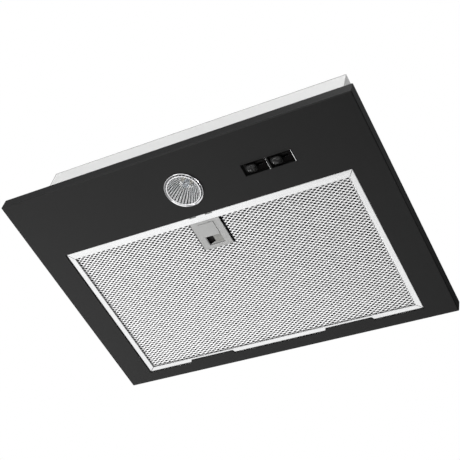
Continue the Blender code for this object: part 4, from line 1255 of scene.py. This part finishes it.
def build_latch():
    """The latch in two colours: grey facing, button and bolts, on inner mouldings painted near black for the
    shade inside the latch.
    """
    low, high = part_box("filter_latch_plate")
    facing = low.z + FACING
    button_split = facing + SLIDER_GAP + SLIDER_SKIN
    side, front, rear, gap = 0.05, low.y - 0.05, high.y + 0.05, 0.00002

    def below(name, node, split):
        return portion(name, node, (-side, front, -0.01), (side, rear, split))

    def above(name, node, split):
        return portion(name, node, (-side, front, split + gap), (side, rear, 0.05))

    plate = below("latch_facing", "filter_latch_plate", facing)
    cut(plate, turned("drain_hole", rod(0.0007, -0.002, 0.004), (0.0062, low.y + 0.0030, low.z), 20))
    soft_edges(plate, 0.0003, 3)
    piece(plate, "filter", "latch", "filter_latch_plate")
    guide = above("latch_guide", "filter_latch_plate", facing)
    soft_edges(guide, 0.0002, 2)
    piece(guide, "filter", "latch_painted_shade_black")
    button = below("latch_button", "latch_slider", button_split)
    soft_edges(button, 0.00035, 3)
    piece(button, "latch", "latch", "latch_slider")
    carrier = above("latch_carrier", "latch_slider", button_split)
    soft_edges(carrier, 0.00015, 2)
    piece(carrier, "latch", "latch_painted_shade_black")
    build_shaded_finger_ledge(facing + SLIDER_GAP)


def build_shaded_finger_ledge(rise):
    """The finger ledge's skin at height rise, right of the finger hole, painted darker grey for the shade in
    its recess.
    """
    left, right, front, rear = -0.0007, 0.0114, -0.0430, -0.0300
    outline = [(left, front), (right, front), (right, rear), (left - 0.0028, rear), (left, rear - 0.0022)]
    shade_pad = slab("shaded_finger_ledge", rounded(outline, 0.0003, 2), rise - 0.00015, rise + 0.0001)
    piece(shade_pad, "latch", "shade_pad")


def build_spring():
    """The latch's coil spring, with closed end coils."""
    low, high, centre = span("latch_spring")
    strand, coils, steps = 0.00022, 9, 14
    radius = (high.x - low.x) / 2 - strand
    points = []
    for k in range(coils * steps + 1):
        angle = 2 * math.pi * k / steps
        share = k / (coils * steps)
        eased = share - 0.6 * math.sin(4 * math.pi * share) / (4 * math.pi)
        along = low.y + strand + (high.y - low.y - 2 * strand) * eased
        points.append((centre.x + radius * math.cos(angle), along, centre.z + radius * math.sin(angle)))
    coil = cable("latch_coil", points, strand, "filter", "zinc", "latch_spring", detail=1)
    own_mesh(coil)


# ---------------------------------------------------------------- fan and outlet


def build_fan():
    """The fan casing and wheel, the motor on its mounts, and the control cover and capacitor."""
    for node in ("fan_scroll", "inlet_ring"):
        carried(node, "fan", 0.0004)
    for node in ("scroll_cover", "motor_bracket", "motor_shaft"):
        carried(node, "zinc")
    build_impeller()
    build_motor()
    for number in (1, 2, 3):
        build_mount(f"motor_mount_{number}")
    carried("control_cover", "zinc")
    carried("run_capacitor", "white", 0.0010, 3)


def build_impeller():
    """The blower wheel: a cup over the motor, a disc, curved blades and a ring at the inlet."""
    low, high, centre = span("impeller")
    radius = (high.x - low.x) / 2
    wall, cup, cup_z, hub, bore = 0.0014, 0.042, low.z + 0.016, 0.009, 0.0033
    profile = [
        (radius, high.z),
        (radius, high.z - wall),
        (cup + 0.002, high.z - wall),
        (cup, high.z - wall - 0.002),
        (cup, cup_z + 0.006),
        (cup - 0.006, cup_z),
        (hub, cup_z),
        (hub, cup_z - 0.008),
        (bore, cup_z - 0.008),
        (bore, cup_z + wall),
        (cup - 0.007, cup_z + wall),
        (cup - wall, cup_z + 0.007),
        (cup - wall, high.z),
    ]
    bm = bmesh.new()
    add_turned(bm, profile, (centre.x, centre.y, 0), 96, closed=True)
    ring = [(radius, low.z + 0.004), (radius, low.z), (radius - wall, low.z), (radius - wall, low.z + 0.004)]
    add_turned(bm, ring, (centre.x, centre.y, 0), 96, closed=True)
    blades, chord, thick = 40, 0.0130, 0.0008
    for k in range(blades):
        turn = Matrix.Rotation(2 * math.pi * k / blades, 3, "Z")
        rows = []
        steps = 6
        for step in range(steps + 1):
            share = step / steps
            angle = math.radians(62 * share)
            out = radius - 0.0010 - chord * math.cos(angle * 0.5) * (1 - share)
            side = 0.0052 * math.sin(math.pi * share * 0.5) ** 1.4
            lean = Vector((math.sin(angle), -math.cos(angle), 0)) * thick / 2
            place = Vector((out, side, 0))
            rows.append([turn @ (place + lean), turn @ (place - lean)])
        outline = [a for a, _ in rows] + [b for _, b in reversed(rows)]
        layers = []
        for z in (low.z + 0.001, high.z - 0.0005):
            layers.append([bm.verts.new(Vector((centre.x, centre.y, z)) + point) for point in outline])
        skin(bm, layers)
    piece(object_from("blower_wheel", bm), "fan_wheel", "fan", "impeller", weighted=False)


def build_motor():
    """The motor's can, with a rolled joint round its middle and vent slots in its lower face."""
    low, high, centre = span("motor")
    radius, bore, bead = (high.x - low.x) / 2, 0.0034, 0.0006
    mid = (low.z + high.z) / 2
    profile = [(bore, high.z), (radius - 0.006, high.z), (radius - 0.002, high.z - 0.002)]
    profile += [(radius - bead, high.z - 0.006), (radius - bead, mid + 0.002), (radius, mid + 0.0012)]
    profile += [(radius, mid - 0.0012), (radius - bead, mid - 0.002), (radius - bead, low.z + 0.006)]
    profile += [(radius - 0.002, low.z + 0.002), (radius - 0.006, low.z), (0.0105, low.z)]
    profile += [(0.0100, low.z + 0.0012), (bore, low.z + 0.0012)]
    can = turned("motor_can", profile, (centre.x, centre.y, 0), 96, closed=True)
    slots = []
    for k in range(10):
        angle = 2 * math.pi * k / 10
        outline = rounded(rectangle(0.016, 0.029, -0.0016, 0.0016), 0.0015, 3)
        slot = slab(f"vent_{k}", outline, low.z - 0.002, low.z + 0.0015)
        slot.data.transform(Matrix.Translation((centre.x, centre.y, 0)) @ Matrix.Rotation(angle, 4, "Z"))
        slots.append(slot)
    cut(can, *slots)
    piece(can, "hood", "zinc", "motor")


def build_mount(node):
    """A waisted rubber bush."""
    low, high, centre = span(node)
    outer, waist, bore, steps = 0.006, 0.0044, 0.0024, 8
    profile = []
    for k in range(steps + 1):
        share = k / steps
        radius = waist + (outer - waist) * abs(2 * share - 1) ** 2
        profile.append((radius, low.z + (high.z - low.z) * share))
    profile += [(bore, high.z), (bore, low.z)]
    made = turned(f"bush_{node}", profile, (centre.x, centre.y, 0), 40, closed=True)
    piece(made, "hood", "rubber", node, weighted=False)


def build_outlet():
    """The duct spigot with a lead-in, two grip beads and a screwed flange, and the two flaps on their pin."""
    low, high, centre = span("outlet_spigot")
    flange = (high.x - low.x) / 2
    outer, wall = 0.060, 0.0016
    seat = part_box("body_shell")[1].z + 0.0003
    top = high.z
    profile = [(outer - wall, low.z), (outer, low.z), (outer, seat)]
    profile += [(flange - 0.0004, seat), (flange, seat + 0.0004)]
    profile += [(flange, seat + 0.0016), (flange - 0.0004, seat + 0.002), (outer + 0.0012, seat + 0.002)]
    profile += [(outer + 0.0003, seat + 0.0024), (outer, seat + 0.0034)]
    bead = outer + 0.0006
    for z in (seat + 0.030, seat + 0.036):
        profile += [(outer, z - 0.0012), (bead, z - 0.0004), (bead, z + 0.0004), (outer, z + 0.0012)]
    profile += [(outer, top - 0.0040), (outer - 0.0007, top - 0.0004)]
    profile += [(outer - 0.0010, top), (outer - wall, top)]
    spigot = turned("duct_spigot", profile, (centre.x, centre.y, 0), 128, closed=True)
    pin_low, pin_high, pin = span("flap_pin")
    holes = [turned("pin_bore", rod(0.0018, -0.08, 0.08), pin, 24, "X")]
    for number in (1, 2, 3):
        place = middle(f"spigot_screw_{number}")
        holes.append(turned(f"screw_bore_{number}", rod(0.0021, -0.02, 0.02), place, 24))
    cut(spigot, *holes)
    piece(spigot, "hood", "fan", "outlet_spigot")
    build_pin(pin_low, pin_high, pin)
    for node, body in (("flap_front", "front_flap"), ("flap_rear", "rear_flap")):
        carried(node, "black", 0.0002)
        build_flap_ribs(node, body)


def build_pin(low, high, pin):
    """The flaps' hinge pin, with chamfered ends."""
    half, radius = (high.x - low.x) / 2, (high.y - low.y) / 2
    profile = [(0, -half), (radius * 0.7, -half), (radius, -half + 0.0004), (radius, half - 0.0004)]
    profile += [(radius * 0.7, half), (0, half)]
    piece(turned("hinge_pin", profile, pin, 32, "X"), "hood", "zinc", "flap_pin")


def build_flap_ribs(node, body):
    """Three stiffening ribs moulded across a flap."""
    low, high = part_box(node)
    front = node == "flap_front"
    mid = (low.z + high.z) / 2
    bm = bmesh.new()
    centre_x = (low.x + high.x) / 2
    for place, reach in ((-0.034, 0.036), (-0.012, 0.047), (0.012, 0.047), (0.034, 0.036)):
        y0, y1 = (high.y - reach, high.y - 0.009) if front else (low.y + 0.009, low.y + reach)
        z0, z1 = mid + 0.0004, mid + 0.0019
        x = centre_x + place
        solid_box(bm, (x - 0.0006, y0, z0), (x + 0.0006, y1, z1), 0.0003, 2)
    piece(object_from(f"{node}_ribs", bm), body, "black")


# ---------------------------------------------------------------- electrics


def build_electrics():
    """The terminal box with its lid, gland and cables."""
    carried("terminal_box", "box", 0.0008, 3)
    carried("terminal_box_lid", "box", 0.0008, 3)
    build_lid_details()
    build_gland()
    build_cables()


def build_lid_details():
    """Two screws in bosses and a raised rim on the terminal box's lid."""
    low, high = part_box("terminal_box_lid")
    inset, rim = 0.006, 0.0012
    x0, x1, y0, y1 = low.x + inset, high.x - inset, low.y + inset, high.y - inset
    mid_y = (y0 + y1) / 2
    z0, z1 = high.z - 0.0004, high.z + 0.0007
    bm = bmesh.new()
    solid_box(bm, (x0, y0, z0), (x1, y0 + rim, z1), 0.0004, 2)
    solid_box(bm, (x0, y1 - rim, z0), (x1, y1, z1), 0.0004, 2)
    solid_box(bm, (x0, y0 + rim, z0), (x0 + rim, y1 - rim, z1), 0.0004, 2)
    solid_box(bm, (x1 - rim, y0 + rim, z0), (x1, y1 - rim, z1), 0.0004, 2)
    piece(object_from("lid_rim", bm), "hood", "box")
    head = [(0, -0.0005), (0.0034, -0.0005), (0.0034, 0.0006)]
    head += [(0.0029, 0.0011), (0.0010, 0.0013), (0, 0.0013)]
    half_slot, half_width = 0.0026, 0.0004
    bm = bmesh.new()
    slots = []
    for number, x in enumerate((x0 + 0.008, x1 - 0.008)):
        add_turned(bm, head, (x, mid_y, high.z), 32)
        slot_low = (x - half_slot, mid_y - half_width, high.z + 0.0006)
        slot_high = (x + half_slot, mid_y + half_width, high.z + 0.002)
        slots.append(box_object(f"lid_slot_{number}", slot_low, slot_high))
    heads = object_from("lid_screws", bm)
    cut(heads, *slots)
    piece(heads, "hood", "zinc")


def build_gland():
    """The cable gland: a hexagon against the box, a fluted dome nut and a bore for the cable."""
    low, _, centre = span("cable_gland")
    bore = 0.0042
    hexagon = [(bore, 0.0052), (0.0093, 0.0052), (0.0095, 0.0056)]
    hexagon += [(0.0095, 0.0092), (0.0093, 0.0096), (bore, 0.0096)]
    thread = [(bore, 0.0096), (0.0065, 0.0096), (0.0065, 0.0200), (bore, 0.0200)]
    start = Vector((low.x, centre.y, centre.z))
    bm = bmesh.new()
    add_turned(bm, hexagon, start, 6, "X", True)
    add_turned(bm, thread, start, 40, "X", True)
    flutes, steps, flute_depth = 12, 72, 0.00028
    dome = [(0.0052, 0.0), (0.0068, 0.0004), (0.0079, 0.0016), (0.0082, 0.0030)]
    dome += [(0.0082, 0.0050), (bore, 0.0050), (bore, 0.0)]
    rings = []
    for radius, along in dome:
        ring = []
        for k in range(steps):
            angle = 2 * math.pi * k / steps
            ripple = flute_depth * math.cos(flutes * angle) if radius > 0.006 else 0.0
            r = radius + ripple
            ring.append(bm.verts.new(start + Vector((along, r * math.cos(angle), r * math.sin(angle)))))
        rings.append(ring)
    skin(bm, rings, closed=True)
    piece(object_from("gland_body", bm), "hood", "black", "cable_gland", weighted=False)


def build_cables():
    """The supply cable with its cut sheath and three wires, and the loom inside the body."""
    low, high, centre = span("mains_cable")
    z = centre.z
    radius = (high.z - low.z) / 2
    y = high.y - radius
    bend, far = high.x - 0.045, low.x + radius
    points = [(high.x - 0.002, y, z), (bend + 0.006, y, z), (bend - 0.006, y, z), (far + 0.006, y - 0.001, z)]
    points += [(far, y - 0.008, z), (far, y - 0.022, z), (far, -0.020, z), (far, -0.060, z)]
    points.append((far + 0.003, low.y + 0.014, z))
    cable("supply_cable", points, radius * 0.97, "hood", "rubber", "mains_cable", detail=8)
    end = Vector((far + 0.003, low.y + 0.016, z))
    wires = ((-0.0014, -0.0009, "black"), (0.0014, -0.0009, "white"), (0.0, 0.0014, "rubber"))
    for number, (side, lift, finish) in enumerate(wires, 1):
        start = end + Vector((side * 0.8, 0, lift * 0.8))
        wire = [start]
        for spread, reach in ((0.0, 0.004), (1.2, 0.009), (1.6, 0.0135)):
            wire.append(start + Vector((side * spread, -reach, 0)))
        cable(f"supply_wire_{number}", wire, 0.0011, "hood", finish, detail=4)
    carried("wiring_loom", "rubber", 0.0002, 1)


# ---------------------------------------------------------------- stage, light and camera


def white_world():
    """White behind the object for the camera; a soft light that fades to the back for everything else."""
    world = bpy.data.worlds.new("studio")
    scene.world = world
    world.use_nodes = True
    tree = world.node_tree
    tree.nodes.clear()
    output = add_node(tree, "OutputWorld")
    seen = add_node(tree, "Background", Color=(1.0, 1.0, 1.0, 1.0), Strength=1.0)
    light = add_node(tree, "Background", Color=(0.98, 0.99, 1.0, 1.0))
    place = add_node(tree, "TexCoord")
    split = add_node(tree, "SeparateXYZ")
    strengths = {"To_Min": WORLD_LIGHT, "To_Max": WORLD_BACK_LIGHT}
    fade = add_node(tree, "MapRange", From_Min=0.42, From_Max=0.62, **strengths)
    rays = add_node(tree, "LightPath")
    mix = add_node(tree, "MixShader")
    for source, socket in (
        (place.outputs["Generated"], split.inputs["Vector"]),
        (split.outputs["Y"], fade.inputs["Value"]),
        (fade.outputs["Result"], light.inputs["Strength"]),
        (rays.outputs["Is Camera Ray"], mix.inputs["Fac"]),
        (light.outputs[0], mix.inputs[1]),
        (seen.outputs[0], mix.inputs[2]),
        (mix.outputs[0], output.inputs["Surface"]),
    ):
        tree.links.new(source, socket)


def softbox(name, place, target, width, height, radiance):
    """A rectangular lamp of a given brightness that faces a target and stays out of the camera's sight."""
    lamp = bpy.data.lights.new(name, "AREA")
    lamp.shape = "RECTANGLE"
    lamp.size = width
    lamp.size_y = height
    lamp.energy = radiance * math.pi * width * height
    obj = bpy.data.objects.new(name, lamp)
    scene.collection.objects.link(obj)
    obj.location = place
    obj.rotation_mode = "QUATERNION"
    obj.rotation_quaternion = (Vector(target) - Vector(place)).to_track_quat("-Z", "Y")
    obj.visible_camera = False


def build_lights():
    """Soft studio light: large dim panels below and round the object, and one small lamp for the bowl."""
    centre = (0, 0, 0)
    softbox("below_left_softbox", (-0.95, 0.90, -1.40), centre, 2.2, 2.0, 1.28)
    softbox("left_softbox", (-1.9, -0.5, -1.0), centre, 1.3, 1.4, 1.3)
    softbox("below_softbox", (0.15, -0.20, -1.78), centre, 1.6, 1.4, 1.5)
    softbox("front_low_softbox", (-0.9, -1.65, -1.05), centre, 1.2, 1.0, 3.2)
    softbox("camera_softbox", (1.3, -1.55, -0.9), centre, 0.9, 0.9, 1.6)
    softbox("right_softbox", (2.2, -0.32, -0.75), centre, 1.0, 1.0, 2.6)
    softbox("right_back_strip", (2.0, 1.15, -0.45), centre, 0.25, 0.8, 0.8)
    softbox("rim_softbox", (-0.92, -1.09, 1.68), centre, 1.8, 1.5, 0.16)
    softbox("front_softbox", (0.2, -2.1, 0.1), (0, 0, 0.05), 3.0, 1.6, 2.15)
    softbox("back_softbox", (-0.8, 2.1, 1.1), (0, 0, 0.05), 1.6, 1.0, 2.0)
    softbox("top_softbox", (0.2, -0.3, 2.4), (0, 0, 0.1), 2.0, 2.0, 1.9)
    softbox("spot_lamp", (-1.95, 1.18, -0.72), centre, 0.28, 0.28, 22.0)


def build_floor():
    """A large pale floor, far enough below the object to look up at it."""
    floor_z, half = -1.8, 6.0
    bm = bmesh.new()
    bmesh.ops.create_grid(bm, x_segments=1, y_segments=1, size=half)
    for vert in bm.verts:
        vert.co.z = floor_z
    floor = object_from("floor", bm)
    made = Shader("pale_floor", FLOOR_COLOUR, 0.7)
    made.vary_colour(made.noise(1.5, 3.0), (0.77, 0.77, 0.765))
    made.raised(made.noise(160.0, 3.0), 0.0004, 0.4)
    made.surface.inputs["Emission Color"].default_value = (*FLOOR_COLOUR, 1.0)
    rays = made.add("LightPath")
    glow = made.ranged(rays.outputs["Is Camera Ray"], 0.0, FLOOR_GLOW, 0.0, 1.0)
    made.link(glow, made.surface.inputs["Emission Strength"])
    floor.data.materials.append(made.material)


def build_camera():
    """The camera below the hood's front right, looking up and back at it."""
    eye = Vector((0.6169, -0.7412, -1.0689))
    right = Vector((0.87202, 0.45337, 0.18450))
    up = Vector((0.25400, -0.74135, 0.62119))
    back = right.cross(up)
    data = bpy.data.cameras.new("camera")
    data.sensor_width = 36.0
    data.lens = 82.15
    data.clip_start = 0.05
    data.clip_end = 50.0
    camera = bpy.data.objects.new("camera", data)
    scene.collection.objects.link(camera)
    turn = Matrix((right, up, back)).transposed().to_4x4()
    camera.matrix_world = Matrix.Translation(eye) @ turn
    scene.camera = camera


build_panel()
build_body()
build_screws()
build_lamp()
build_switches()
build_filter()
build_fan()
build_outlet()
build_electrics()
white_world()
build_lights()
build_floor()
build_camera()
scene.view_settings.view_transform = "Standard"
